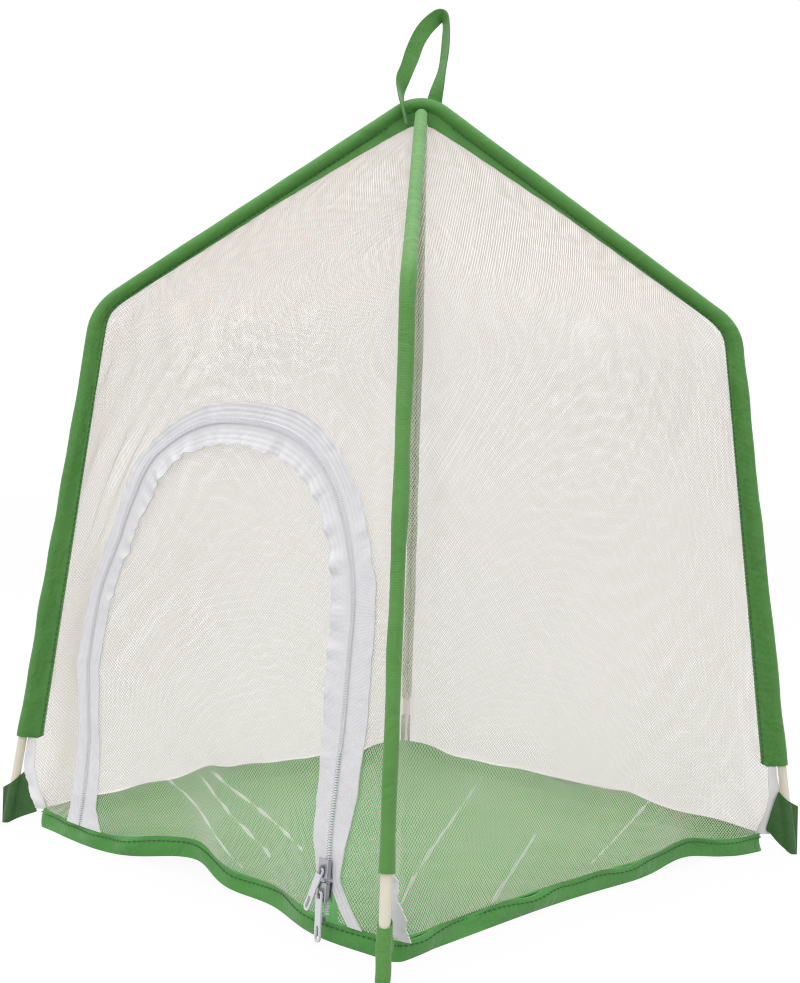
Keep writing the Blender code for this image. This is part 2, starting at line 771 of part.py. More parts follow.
def side_points(steps=16):
    """Points up the right edge of a panel, from its foot to its tip."""
    v = PANEL_LENGTH * np.linspace(0, 1, steps)
    return [np.array([float(half_width(a)) - NET_CORNER_GAP, a]) for a in v]


def panel_limits():
    """The straight edges that hold the gaps of a whole panel: foot, sides and roof edges."""
    right = side_points()
    shoulder = run_to(SEAM_SHOULDER[1])
    corner = np.array([float(half_width(shoulder)) - NET_CORNER_GAP, shoulder])
    edges = [(right[0], corner), (corner, right[-1])]
    limits = [line_limit((0, 0), (FLOOR_SIDE, 0), NET_BORDER)]
    for a, b in edges:
        limits.append(line_limit(a, b, NET_BORDER))
        mirror = np.array([-1, 1])
        limits.append(line_limit(b * mirror, a * mirror, NET_BORDER))
    return limits


def arch_points(half, low, steps=ARCH_STEPS):
    """The arch of the door at a half width: right foot, up, over and down to the left foot."""
    centre = arch_centre(low)
    turns = math.pi * np.linspace(0, 1, steps + 1)
    arc = [centre + half * np.array([math.cos(t), math.sin(t)]) for t in turns]
    right, left = np.array([half, 0]), np.array([-half, 0])
    foot = np.array([centre[0], low])
    return [foot + right, *arc, foot + left]


def make_plain_wall(name, turns):
    right = side_points()
    left = [p * np.array([-1, 1]) for p in reversed(right)]
    mesh = flat_plate(name, [right + left, *net_gaps(panel_limits())], NET_THICKNESS)
    return add_object(name, place_on_panel(mesh, 0.0, turns), WHITE_NET)


WALL_HOLE_HALF = DOOR_HALF_WIDTH + ZIP_TAPE_WIDTH - ZIP_SEW_MARGIN + ZIP_SLOT / 2
DOOR_NET_HALF = DOOR_HALF_WIDTH - ZIP_TAPE_WIDTH + ZIP_SEW_MARGIN - ZIP_SLOT / 2
SLIDER_UPPER_PLACE = SLIDER_LOWER_PLACE + SLIDER_SPACING
FOLD_RUN = SLIDER_UPPER_PLACE + SLIDER_LENGTH / 2 + DOOR_FOLD_GAP


def make_door_wall(name):
    """The front panel, with the arched doorway cut up from its foot."""
    right = side_points()
    left = [p * np.array([-1, 1]) for p in reversed(right)]
    doorway = arch_points(WALL_HOLE_HALF, 0.0)
    limits = panel_limits() + [arch_limit(WALL_HOLE_HALF + NET_BORDER, True)]
    mesh = flat_plate(name, [right + left + doorway[::-1], *net_gaps(limits)], NET_THICKNESS)
    return add_object(name, place_on_panel(mesh, 0.0), WHITE_NET)


def make_door_hinge():
    """An empty on the fold line of the flap, just outside the zip, that carries the flap."""
    hinge = bpy.data.objects.new("door_fold", None)
    CAGE.objects.link(hinge)
    hinge.location = on_panel(DOOR_OFFSET, FOLD_RUN, COIL_TOP + CLEARANCE)
    bpy.context.view_layer.update()
    return hinge


def hang_on(hinge, ob):
    """Makes a piece a child of the hinge where it stands."""
    ob.parent = hinge
    ob.matrix_parent_inverse = hinge.matrix_world.inverted()


def make_door_net(hinge):
    """The net of the flap above its fold, and the strip of it that stays below."""
    low = FOLD_RUN + CLEARANCE / 2
    outline = arch_points(DOOR_NET_HALF, low)
    limits = [
        arch_limit(DOOR_NET_HALF - NET_BORDER, False),
        line_limit((0, low), (FLOOR_SIDE, low), NET_BORDER),
    ]
    mesh = flat_plate("door_net", [outline, *net_gaps(limits)], NET_THICKNESS)
    hang_on(hinge, add_object("door_net", place_on_panel(mesh, 0.0), WHITE_NET))
    high = FOLD_RUN - CLEARANCE / 2
    left, right = DOOR_OFFSET - DOOR_NET_HALF, DOOR_OFFSET + DOOR_NET_HALF
    strip = [np.array(p) for p in ((left, 0), (right, 0), (right, high), (left, high))]
    limits = [
        line_limit(strip[0], strip[1], NET_BORDER),
        line_limit(strip[1], strip[2], NET_BORDER),
        line_limit(strip[2], strip[3], NET_BORDER),
        line_limit(strip[3], strip[0], NET_BORDER),
    ]
    mesh = flat_plate("door_sill_net", [strip, *net_gaps(limits)], NET_THICKNESS)
    add_object("door_sill_net", place_on_panel(mesh, 0.0), WHITE_NET)


# Zip


TAPE_LIFT = NET_THICKNESS / 2 + CLEARANCE + ZIP_TAPE_CLOTH / 2
COIL_LIFT = TAPE_LIFT + ZIP_TAPE_CLOTH / 2 + CLEARANCE + ZIP_COIL_HEIGHT / 2
COIL_TOP = COIL_LIFT + ZIP_COIL_HEIGHT / 2
COIL_FOOT = ZIP_STOP_LENGTH + 2 * CLEARANCE


def band(name, inner, outer, low, thickness, lift, mat):
    """An arched band on the door wall, between two half widths, that starts at a run of low."""
    outline = arch_points(outer, low) + arch_points(inner, low)[::-1]
    mesh = flat_plate(name, [outline], thickness)
    return add_object(name, place_on_panel(mesh, lift), mat, smooth=False)


def strip(name, side, inner, outer, low, high, thickness, lift, mat):
    """A short straight length of band at one foot of the arch; side is 1 for the right one."""
    a, b = DOOR_OFFSET + side * inner, DOOR_OFFSET + side * outer
    outline = [(a, low), (b, low), (b, high), (a, high)]
    mesh = flat_plate(name, [outline], thickness)
    return add_object(name, place_on_panel(mesh, lift), mat, smooth=False)


def make_zip(hinge):
    """Two tapes and two coils; the inner ones go with the flap above its fold."""
    slot = ZIP_SLOT / 2
    outer_edge, inner_edge = DOOR_HALF_WIDTH + slot, DOOR_HALF_WIDTH - slot
    tape_out, tape_in = DOOR_HALF_WIDTH + ZIP_TAPE_WIDTH, DOOR_HALF_WIDTH - ZIP_TAPE_WIDTH
    coil_out, coil_in = outer_edge + ZIP_COIL_WIDTH, inner_edge - ZIP_COIL_WIDTH
    above, below = FOLD_RUN + CLEARANCE / 2, FOLD_RUN - CLEARANCE / 2
    tape = (ZIP_TAPE_CLOTH, TAPE_LIFT, WHITE_TAPE)
    coil = (ZIP_COIL_HEIGHT, COIL_LIFT, WHITE_COIL)
    band("zip_tape_outer", outer_edge, tape_out, 0.0, *tape)
    band("zip_coil_outer", outer_edge, coil_out, COIL_FOOT, *coil)
    hang_on(hinge, band("zip_tape_inner", tape_in, inner_edge, above, *tape))
    hang_on(hinge, band("zip_coil_inner", coil_in, inner_edge, above, *coil))
    for side, word in ((1, "right"), (-1, "left")):
        strip(f"zip_tape_foot_{word}", side, tape_in, inner_edge, 0.0, below, *tape)
        strip(f"zip_coil_foot_{word}", side, coil_in, inner_edge, COIL_FOOT, below, *coil)
        half = ZIP_STOP_WIDTH / 2
        strip(f"zip_stop_{word}", side, DOOR_HALF_WIDTH - half, DOOR_HALF_WIDTH + half,
              CLEARANCE, CLEARANCE + ZIP_STOP_LENGTH, ZIP_COIL_HEIGHT, COIL_LIFT, WHITE_METAL)


# Sliders and pulls, drawn flat: X across the zip, -Y out of the wall, Z up along the zip


def wall_turn():
    """The turn about X that lays a piece drawn upright onto the leaning wall."""
    return Matrix.Rotation(-WALL_TILT, 4, "X")


def zip_point(v, lift):
    """A point on the middle line of the zip's right leg."""
    return Vector(on_panel(DOOR_OFFSET + DOOR_HALF_WIDTH, v, lift))


def bail_outline():
    """The arched bail from its side: along the zip, then out of the plate to minus Y."""
    points = []
    for half, high in ((BAIL_LENGTH / 2, BAIL_HEIGHT), (BAIL_LENGTH / 2 - BAIL_BAR, BAIL_HEIGHT - BAIL_BAR)):
        foot = SLIDER_PLATE / 2
        corner = min(BAIL_CORNER, half)
        side = [(half, foot), (half, corner - high), (half - corner, -high)]
        arch = side + [(-along_zip, out) for along_zip, out in reversed(side)]
        points += arch if not points else arch[::-1]
    return points


def make_slider(name, v):
    """A slider: two plates, side flanges and a neck round the coils, with a bail for the pull."""
    half, long = SLIDER_WIDTH / 2, SLIDER_LENGTH / 2
    under = -NET_THICKNESS / 2
    plate_in = TAPE_LIFT - ZIP_TAPE_CLOTH / 2 - CLEARANCE
    plate_out = COIL_TOP + CLEARANCE
    top = plate_out + SLIDER_PLATE
    flange = TAPE_LIFT + ZIP_TAPE_CLOTH / 2 + CLEARANCE
    wall = ZIP_SLOT / 2 + ZIP_COIL_WIDTH + CLEARANCE
    ob = add_object(name, box(name, (-half, -top, -long), (half, -plate_out, long)), WHITE_METAL)
    bevel(ob, SLIDER_BEVEL)
    inner = box("inner", (-half, -plate_in, -long), (half, -under, long))
    boolean(ob, inner, "UNION")
    neck_top = long - SLIDER_PLATE / 2
    neck = box("neck", (-SLIDER_NECK / 2, -plate_out - SLIDER_PLATE / 2, neck_top - SLIDER_NECK_LENGTH),
               (SLIDER_NECK / 2, -plate_in + SLIDER_PLATE / 2, neck_top))
    boolean(ob, neck, "UNION")
    for side in (-1, 1):
        x = sorted((side * wall, side * (half - CLEARANCE)))
        rail = box("rail", (x[0], -plate_out - SLIDER_PLATE / 2, -long + SLIDER_BEVEL),
                   (x[1], -flange, long - SLIDER_BEVEL))
        boolean(ob, rail, "UNION")
    bail = flat_plate("bail", [bail_outline()], BAIL_WIDTH)
    bail.transform(Matrix.Translation((0, -top, 0)) @ Matrix.Rotation(-math.pi / 2, 4, "Y"))
    boolean(ob, bail, "UNION")
    ob.matrix_world = Matrix.Translation(zip_point(v, 0.0)) @ wall_turn()
    return ob


PULL_LIFT = COIL_TOP + CLEARANCE + SLIDER_PLATE + (BAIL_HEIGHT - BAIL_BAR) / 2


def pull_outline():
    """The pull's flat outline, hanging down from its pivot at the origin, with round ends."""
    eye, half = PULL_EYE_WIDTH / 2, PULL_WIDTH / 2
    top = PULL_THICKNESS / 2
    corner = eye - PULL_EYE_CORNER
    neck = PULL_EYE_LENGTH + PULL_WIDTH
    low = PULL_LENGTH - half
    turns = math.pi * np.linspace(0, 1, 9)
    end = [(-half * math.cos(t), -low - half * math.sin(t)) for t in turns]
    low_corner = top - PULL_EYE_CORNER
    return [(eye, low_corner), (corner, top), (-corner, top), (-eye, low_corner),
            (-eye, -PULL_EYE_LENGTH), (-half, -neck), *end, (half, -neck), (eye, -PULL_EYE_LENGTH)]


def pull_holes():
    """The window that takes the bail, and the oval hole in the pull's end."""
    side = PULL_EYE_WIDTH / 2 - PULL_EYE_SIDE
    bar = PULL_THICKNESS / 2
    window = [(side, -bar), (-side, -bar), (-side, -PULL_EYE_LENGTH), (side, -PULL_EYE_LENGTH)]
    radius = PULL_SLOT_WIDTH / 2
    low = -PULL_LENGTH + PULL_WIDTH / 2
    high = low + PULL_SLOT_LENGTH - PULL_SLOT_WIDTH
    turns = math.pi * np.linspace(0, 1, 7)
    oval = [(-radius * math.cos(t), low - radius * math.sin(t)) for t in turns]
    oval += [(radius * math.cos(t), high + radius * math.sin(t)) for t in turns]
    return [window, oval]


def make_pull(name, slider, tilt):
    """A pull tab, whose top bar lies in the slider's bail; tilt swings it sideways."""
    mesh = flat_plate(name, [pull_outline(), *pull_holes()], PULL_THICKNESS)
    upright = Matrix.Rotation(math.pi / 2, 4, "X")
    mesh.transform(Matrix.Rotation(tilt, 4, "Y") @ upright)
    ob = add_object(name, mesh, WHITE_METAL)
    ob.parent = slider
    ob.location = (0, -PULL_LIFT, 0)
    return ob


# Hanging loop, in its own frame: along the upper arch, across it to the front, and up


def over_arch(x, radius=0.0):
    """Height and slope of a line that follows the upper arch's top at a radius from its middle."""
    _, shoulder, _ = arch_corners(True)
    arc = np.vstack([shoulder, apex_arc(True), shoulder * np.array([-1, 1])])[::-1]
    slope = np.interp(x, arc[:, 0], np.gradient(arc[:, 1], arc[:, 0]))
    return np.interp(x, arc[:, 0], arc[:, 1]) + radius * np.hypot(1, slope), slope


LOOP_END_RADIUS = (SLEEVE_RADIUS + CLEARANCE) / math.cos(math.pi / SLEEVE_SIDES)
LOOP_SEAT_RADIUS = LOOP_END_RADIUS + RIBBON_CLOTH + LOOP_FOLD_GAP
LOOP_INNER_EDGE = LOOP_FOOT_HALF - RIBBON_WIDTH / 2 + LOOP_FOOT_SHIFT
LOOP_FOLD_HEIGHT = float(over_arch(LOOP_INNER_EDGE, LOOP_SEAT_RADIUS)[0])


def loop_line(share):
    """The ribbon's middle line at a share of its length: a drop shape that leans aside."""
    turn = math.pi * share
    height = LOOP_HEIGHT * math.sin(turn) ** 0.9
    open_share = math.sin(turn) ** 0.25
    half = LOOP_HALF_WIDTH * open_share + LOOP_FOOT_HALF * (1 - open_share)
    shift = LOOP_FOOT_SHIFT + (LOOP_TOP_SHIFT - LOOP_FOOT_SHIFT) * height / LOOP_HEIGHT
    return shift - half * math.cos(turn), height


def loop_frame(height):
    """Axes along the upper arch, across it to the front, and up, from a point over its middle."""
    ahead, front = Vector((1, 1, 0)).normalized(), Vector((1, -1, 0)).normalized()
    axes = Matrix((ahead, front, Vector((0, 0, 1)))).transposed().to_4x4()
    return Matrix.Translation((0, 0, height)) @ axes


def loft_ribbon(name, rings):
    """A closed strip through rings of four corners."""
    bm = bmesh.new()
    rings = [[bm.verts.new(corner) for corner in ring] for ring in rings]
    for here, there in zip(rings, rings[1:]):
        for k in range(4):
            j = (k + 1) % 4
            bm.faces.new((here[k], here[j], there[j], there[k]))
    bm.faces.new(rings[0])
    bm.faces.new(rings[-1])
    return add_object(name, mesh_from(bm, name), GREEN_CLOTH)


def make_loop():
    """The ribbon of the loop: its feet lie flat to the front, and it twists edge-on between."""
    shares = np.linspace(0, 1, LOOP_STEPS + 1)
    line = np.array([loop_line(s) for s in shares])
    ahead = np.gradient(line, axis=0)
    ahead /= np.linalg.norm(ahead, axis=1, keepdims=True)
    ahead[0], ahead[-1] = (0, 1), (0, -1)
    rings = []
    for share, (x, up), (dx, dz) in zip(shares, line, ahead):
        tangent = Vector((dx, 0, dz))
        twist = math.radians(float(np.interp(share, LOOP_TWIST_SHARES, LOOP_TWISTS)))
        broad = Matrix.Rotation(twist, 3, tangent) @ Vector((0, 1, 0))
        thin = tangent.cross(broad)
        corners = [Vector((x, 0, up)) + broad * (a * RIBBON_WIDTH / 2) + thin * (b * RIBBON_CLOTH / 2)
                   for a, b in ((-1, -1), (1, -1), (1, 1), (-1, 1))]
        rings.append(corners)
    for foot in (rings[0], rings[-1]):
        for corner in foot:
            corner.z = float(over_arch(corner.x, LOOP_SEAT_RADIUS)[0]) - LOOP_FOLD_HEIGHT
    ob = loft_ribbon("hanging_loop", rings)
    ob.matrix_world = loop_frame(LOOP_FOLD_HEIGHT)
    return ob


def make_loop_end(name, middle, side, turn_steps=7, run_steps=4):
    """A sewn end of the ribbon, laid over the upper sleeve and down its front or back side."""
    turns = math.pi / 2 + (LOOP_END_TURN - math.pi / 2) * np.linspace(0, 1, turn_steps)
    places = middle + RIBBON_WIDTH * (np.linspace(0, 1, run_steps) - 1 / 2)
    bm = bmesh.new()
    grid = []
    for radius in (LOOP_END_RADIUS, LOOP_END_RADIUS + RIBBON_CLOTH):
        for x, z, slope in zip(places, *over_arch(places)):
            up = Vector((-slope, 0, 1)).normalized()
            row = []
            for turn in turns:
                out = up * math.sin(turn) + Vector((0, side, 0)) * math.cos(turn)
                row.append(bm.verts.new(Vector((x, 0, z)) + out * radius))
            grid.append(row)
    inner, outer = grid[:run_steps], grid[run_steps:]
    for skin in (inner, outer):
        for here, there in zip(skin, skin[1:]):
            for k in range(turn_steps - 1):
                bm.faces.new((here[k], here[k + 1], there[k + 1], there[k]))
    for k in range(turn_steps - 1):
        for row in (0, -1):
            bm.faces.new((inner[row][k], inner[row][k + 1], outer[row][k + 1], outer[row][k]))
    for k in range(run_steps - 1):
        for turn in (0, -1):
            bm.faces.new((inner[k][turn], inner[k + 1][turn], outer[k + 1][turn], outer[k][turn]))
    ob = add_object(name, mesh_from(bm, name), GREEN_CLOTH)
    ob.matrix_world = loop_frame(0)
    return ob


# Floor


def make_floor():
    inner = FLOOR_SIDE / 2 - HEM_CLOTH - CLEARANCE
    mesh = box("floor_panel", (-inner, -inner, 0), (inner, inner, FLOOR_CLOTH))
    add_object("floor_panel", mesh, GREEN_CLOTH, smooth=False)
    outer, hole = FLOOR_SIDE / 2, FLOOR_SIDE / 2 - HEM_CLOTH
    squares = [
        [(s * a, t * a) for s, t in ((-1, -1), (1, -1), (1, 1), (-1, 1))] for a in (outer, hole)
    ]
    hem = flat_plate("floor_hem", squares, HEM_HEIGHT)
    hem.transform(Matrix.Translation((0, 0, HEM_HEIGHT / 2)))
    add_object("floor_hem", hem, GREEN_CLOTH, smooth=False)


make_floor()
make_arch(True, OVER_CORNERS)
make_arch(False, UNDER_CORNERS)
make_sleeves()
for corner_name in CORNERS:
    make_pocket(corner_name)
    make_corner_tape(corner_name)
make_door_wall("wall_net_front")
for wall_name, quarter_turns in WALLS.items():
    if wall_name != "front":
        make_plain_wall(f"wall_net_{wall_name}", quarter_turns)
door_hinge = make_door_hinge()
make_door_net(door_hinge)
make_zip(door_hinge)
for height_name, place, tilt in (("lower", SLIDER_LOWER_PLACE, PULL_LOWER_TILT),
                                 ("upper", SLIDER_UPPER_PLACE, PULL_UPPER_TILT)):
    slider = make_slider(f"slider_{height_name}", place)
    make_pull(f"pull_{height_name}", slider, tilt)
make_loop()
make_loop_end("loop_end_front", -LOOP_FOOT_HALF + LOOP_FOOT_SHIFT, 1)
make_loop_end("loop_end_back", LOOP_FOOT_HALF + LOOP_FOOT_SHIFT, -1)

bpy.context.view_layer.update()
print("zip direction", round(math.sin(WALL_TILT), 5), round(math.cos(WALL_TILT), 5))
for ob in (door_hinge, *(bpy.data.objects[name] for name in MOVING_NODES)):
    print(ob.name, [round(c, 5) for c in ob.matrix_world.translation])
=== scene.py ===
# %% [markdown]
# # An insect cage of net, with a pyramid roof
# The cage is a cloth floor, four net walls and two crossed poles in cloth sleeves that hold the
# net up from outside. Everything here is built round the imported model: hard pieces stay and only
# get a finish, and each piece of cloth or net is made again as the real thing is, thread by thread
# or as a thin folded sheet, in the place that the model gives it.

# %% Load the frame
import math

import bpy
import numpy as np
from mathutils import Matrix, Vector


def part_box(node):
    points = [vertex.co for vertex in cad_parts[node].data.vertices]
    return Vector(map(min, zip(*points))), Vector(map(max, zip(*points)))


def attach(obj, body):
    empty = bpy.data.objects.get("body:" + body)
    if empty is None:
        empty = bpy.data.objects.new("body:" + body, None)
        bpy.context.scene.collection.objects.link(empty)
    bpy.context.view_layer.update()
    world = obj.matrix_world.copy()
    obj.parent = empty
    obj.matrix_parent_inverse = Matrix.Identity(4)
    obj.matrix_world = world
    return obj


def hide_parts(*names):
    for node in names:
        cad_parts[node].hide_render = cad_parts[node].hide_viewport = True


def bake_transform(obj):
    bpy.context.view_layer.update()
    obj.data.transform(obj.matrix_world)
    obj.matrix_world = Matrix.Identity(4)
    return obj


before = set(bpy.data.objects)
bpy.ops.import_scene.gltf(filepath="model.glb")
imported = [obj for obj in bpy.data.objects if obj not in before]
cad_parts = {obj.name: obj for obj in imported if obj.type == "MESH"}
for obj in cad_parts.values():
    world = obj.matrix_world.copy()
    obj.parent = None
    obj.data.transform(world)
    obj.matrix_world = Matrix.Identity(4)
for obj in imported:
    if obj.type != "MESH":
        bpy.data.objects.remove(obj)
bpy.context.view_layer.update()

# %% [markdown]
# ## Camera
# The photograph was taken from the height of the cage's middle, in front of its front right
# corner. The place, the turn and the lens were found by fitting the floor's corners, the feet, the
# shoulders and the top of the poles to the picture.

# %% Camera
CAMERA_PLACE = (0.5805, -0.5606, 0.2193)
CAMERA_YAW = math.radians(46.363)
CAMERA_DIP = math.radians(0.996)
CAMERA_ROLL = math.radians(1.947)
CAMERA_LENS = 50.03
SENSOR = 36.0


def add_object(name, data):
    ob = bpy.data.objects.new(name, data)
    bpy.context.scene.collection.objects.link(ob)
    return ob


def make_camera():
    """Axes from the heading: ahead, then right and up, turned by the roll about ahead."""
    ahead = Vector((-math.sin(CAMERA_YAW) * math.cos(CAMERA_DIP),
                    math.cos(CAMERA_YAW) * math.cos(CAMERA_DIP), -math.sin(CAMERA_DIP)))
    level = Vector((math.cos(CAMERA_YAW), math.sin(CAMERA_YAW), 0))
    right = level * math.cos(CAMERA_ROLL) + level.cross(ahead) * math.sin(CAMERA_ROLL)
    up = right.cross(ahead)
    data = bpy.data.cameras.new("camera")
    data.sensor_fit = "VERTICAL"
    data.sensor_width = data.sensor_height = SENSOR
    data.lens = CAMERA_LENS
    ob = add_object("camera", data)
    turn = Matrix((right, up, -ahead)).transposed().to_4x4()
    ob.matrix_world = Matrix.Translation(CAMERA_PLACE) @ turn
    bpy.context.scene.camera = ob


make_camera()
print("camera at", CAMERA_PLACE, "lens", CAMERA_LENS)

# %% [markdown]
# ## Helpers for meshes
# Each piece is a surface worked out as a grid of points. A grid becomes quads by numbering its
# corners, and a sheet of cloth gets its thickness by a second grid on its other side.


# %% Grids to meshes
SHARP_ANGLE = math.radians(50)


def make_piece(name, points, faces, finish, uv=None, body="cage"):
    """Puts whole arrays into a mesh object that rides on a body: points is n by 3, faces m by k.
    The faces are turned round if the closed shape's signed volume comes out negative."""
    a, b, c = (points[faces[:, k]] for k in (0, 1, 2))
    volume = np.einsum("ij,ij->i", a, np.cross(b, c)).sum()
    if faces.shape[1] == 4:
        d = points[faces[:, 3]]
        volume += np.einsum("ij,ij->i", a, np.cross(c, d)).sum()
    if volume < 0:
        faces = faces[:, ::-1]
    mesh = bpy.data.meshes.new(name)
    mesh.vertices.add(len(points))
    mesh.vertices.foreach_set("co", points.astype(np.float32).ravel())
    mesh.loops.add(faces.size)
    mesh.loops.foreach_set("vertex_index", faces.astype(np.int32).ravel())
    mesh.polygons.add(len(faces))
    starts = np.arange(0, faces.size, faces.shape[1], dtype=np.int32)
    mesh.polygons.foreach_set("loop_start", starts)
    mesh.update(calc_edges=True)
    if uv is not None:
        layer = mesh.uv_layers.new(name="cloth")
        layer.data.foreach_set("uv", uv[faces.ravel()].astype(np.float32).ravel())
    mesh.validate()
    mesh.shade_smooth()
    mesh.set_sharp_from_angle(angle=SHARP_ANGLE)
    mesh.materials.append(finish)
    ob = add_object(name, mesh)
    if body:
        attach(ob, body)
    print(name, len(points), "points", len(faces), "faces")
    return ob


def grid_quads(rows, columns, wrap=False):
    """Corner numbers of a grid's quads, row by row; wrap joins the last column to the first."""
    r = np.arange(rows - 1)[:, None] * columns
    c = np.arange(columns if wrap else columns - 1)[None, :]
    d = (c + 1) % columns
    return np.stack([r + c, r + d, r + columns + d, r + columns + c], axis=-1).reshape(-1, 4)


def unit(a):
    return a / np.maximum(np.linalg.norm(a, axis=-1, keepdims=True), 1e-12)


def lengths_along(line):
    """The length from a line's first point to each of its points."""
    return np.concatenate([[0], np.cumsum(np.linalg.norm(np.diff(line, axis=0), axis=1))])


def read_at(at, length, values):
    """Columns of values, which are given by length along a line, read off at other lengths."""
    return np.stack([np.interp(at, length, column) for column in values.T], axis=-1)


def joined(meshes):
    """The points and faces of several meshes as those of one."""
    parts, faces, total = [], [], 0
    for points, corners in meshes:
        parts.append(points)
        faces.append(corners + total)
        total += len(points)
    return np.concatenate(parts), np.concatenate(faces)


def sheet_normals(grid):
    """The direction square to a grid of points: its two slopes crossed."""
    return unit(np.cross(np.gradient(grid, axis=0), np.gradient(grid, axis=1)))


def two_skins(front, back):
    """A closed sheet from the grids of its two sides, with quads round the rim between them."""
    rows, columns = front.shape[:2]
    count = rows * columns
    quads = grid_quads(rows, columns)
    numbers = np.arange(count).reshape(rows, columns)
    rim = np.concatenate([numbers[0, :-1], numbers[:-1, -1], numbers[-1, :0:-1], numbers[:0:-1, 0]])
    ahead = np.roll(rim, -1)
    edge = np.stack([rim, ahead, ahead + count, rim + count], axis=-1)
    points = np.concatenate([front.reshape(-1, 3), back.reshape(-1, 3)])
    return points, np.concatenate([quads[:, ::-1], quads + count, edge])


def cloth_piece(name, grid, thickness, finish, uv, body="cage"):
    """A sheet of cloth along a grid: half its thickness to either side of the grid."""
    lift = sheet_normals(grid) * thickness / 2
    points, faces = two_skins(grid + lift, grid - lift)
    return make_piece(name, points, faces, finish, np.concatenate([uv.reshape(-1, 2)] * 2), body)


def tube_piece(name, outer, inner, finish, uv):
    """A closed wall from an outer and an inner skin, each a grid whose columns go round."""
    rows, columns = outer.shape[:2]
    count = rows * columns
    quads = grid_quads(rows, columns, wrap=True)
    ring = np.arange(columns)
    ahead = np.roll(ring, -1)
    last = (rows - 1) * columns
    start = np.stack([ring, ahead, ahead + count, ring + count], axis=-1)
    points = np.concatenate([outer.reshape(-1, 3), inner.reshape(-1, 3)])
    faces = np.concatenate([quads[:, ::-1], quads + count, start, start[:, ::-1] + last])
    return make_piece(name, points, faces, finish, np.concatenate([uv.reshape(-1, 2)] * 2))


def crumple(u, v, size, seed, waves=7):
    """A smooth random field from about -1 to 1: sine waves of one length in random directions."""
    random = np.random.default_rng(seed)
    field = np.zeros(np.broadcast(u, v).shape)
    for heading, stretch, phase in random.random((waves, 3)):
        angle, k = math.tau * heading, math.tau / size * (0.6 + 0.8 * stretch)
        field += np.sin((u * math.cos(angle) + v * math.sin(angle)) * k + math.tau * phase)
    return field / math.sqrt(waves)


# %% [markdown]
# ## Helpers for threads
# Net, stitches and zip coils are the same small shape hundreds of times over. One array holds the
# places of all of them, so a whole wall of net is worked out in a few lines.


# %% Threads and repeated shapes
def thread_mesh(lines, outward, section):
    """Threads along many lines at once; lines is threads by rings by 3. Section holds a ring's
    eight corners, across and outward: its tips and grooves take turns."""
    count, rings = lines.shape[:2]
    ahead = unit(np.gradient(lines, axis=1))
    side = unit(np.cross(ahead, np.broadcast_to(outward, lines.shape)))[..., None, :]
    out = np.cross(side, ahead[..., None, :])
    points = lines[..., None, :] + side * section[:, :1] + out * section[:, 1:]
    size = len(section)
    ring = np.arange(rings - 1)[:, None] * size
    k = np.arange(size)[None, :]
    j = (k + 1) % size
    one = np.stack([ring + k, ring + size + k, ring + size + j], axis=-1).reshape(-1, 3)
    two = np.stack([ring + k, ring + size + j, ring + j], axis=-1).reshape(-1, 3)
    cap = np.array([(7, 0, 1), (1, 2, 3), (3, 4, 5), (5, 6, 7), (1, 3, 5), (1, 5, 7)])
    single = np.concatenate([one, two, cap, cap[:, ::-1] + (rings - 1) * size])
    faces = single[None] + (np.arange(count) * rings * size)[:, None, None]
    return points.reshape(-1, 3), faces.reshape(-1, 3)


def repeat_shape(shape, faces, places, ahead, out):
    """One small shape at many places: its x runs along ahead, its z along out, y across."""
    across = np.cross(out, ahead)
    axes = np.stack([ahead, across, out], axis=1)
    points = places[:, None, :] + np.einsum("pk,nkj->npj", shape, axes)
    numbers = faces[None] + (np.arange(len(places)) * len(shape))[:, None, None]
    return points.reshape(-1, 3), numbers.reshape(-1, faces.shape[1])


def box_chain(centres, halves):
    """A four-sided bar through a few centres (x, z), each with its half width and half height."""
    corners = np.array([(-1, -1), (1, -1), (1, 1), (-1, 1)])
    centres, halves = np.array(centres, float), np.array(halves, float)
    y = corners[None, :, 0] * halves[:, None, 0]
    z = corners[None, :, 1] * halves[:, None, 1] + centres[:, None, 1]
    x = np.broadcast_to(centres[:, None, 0], y.shape)
    points = np.stack([x, y, z], axis=-1).reshape(-1, 3)
    rows = len(centres)
    ends = np.array([[3, 2, 1, 0], [rows * 4 - 4, rows * 4 - 3, rows * 4 - 2, rows * 4 - 1]])
    return points, np.concatenate([grid_quads(rows, 4, wrap=True), ends])


# %% [markdown]
# ## Finishes
# A finish starts from what the real stuff is. Colours are read off as sRGB hex values, and the
# renderer works in linear light, so one function turns them round. Weave sizes are real sizes in
# metres: a wave texture of scale s repeats every pi / (10 s).


# %% Colour and node helpers
def linear(hexcode):
    """An sRGB hex colour as linear red, green, blue and alpha."""
    srgb = np.array([int(hexcode[i : i + 2], 16) / 255 for i in (0, 2, 4)])
    low, high = srgb / 12.92, ((srgb + 0.055) / 1.055) ** 2.4
    return (*np.where(srgb <= 0.04045, low, high), 1.0)


def add_node(tree, kind, inputs=None, **settings):
    """Adds one node: settings are its properties, inputs its socket values or what feeds them."""
    node = tree.nodes.new(kind)
    for name, value in settings.items():
        setattr(node, name, value)
    for socket, value in (inputs or {}).items():
        if isinstance(value, bpy.types.NodeSocket):
            tree.links.new(value, node.inputs[socket])
        else:
            node.inputs[socket].default_value = value
    return node


def new_finish(name, **sockets):
    """A material with only a Principled shader, whose sockets are set by name."""
    mat = bpy.data.materials.new(name)
    mat.use_nodes = True
    shader = mat.node_tree.nodes["Principled BSDF"]
    for socket, value in sockets.items():
        shader.inputs[socket.replace("_", " ")].default_value = value
    return mat, mat.node_tree, shader


def wave_scale(period):
    return math.pi / 10 / period


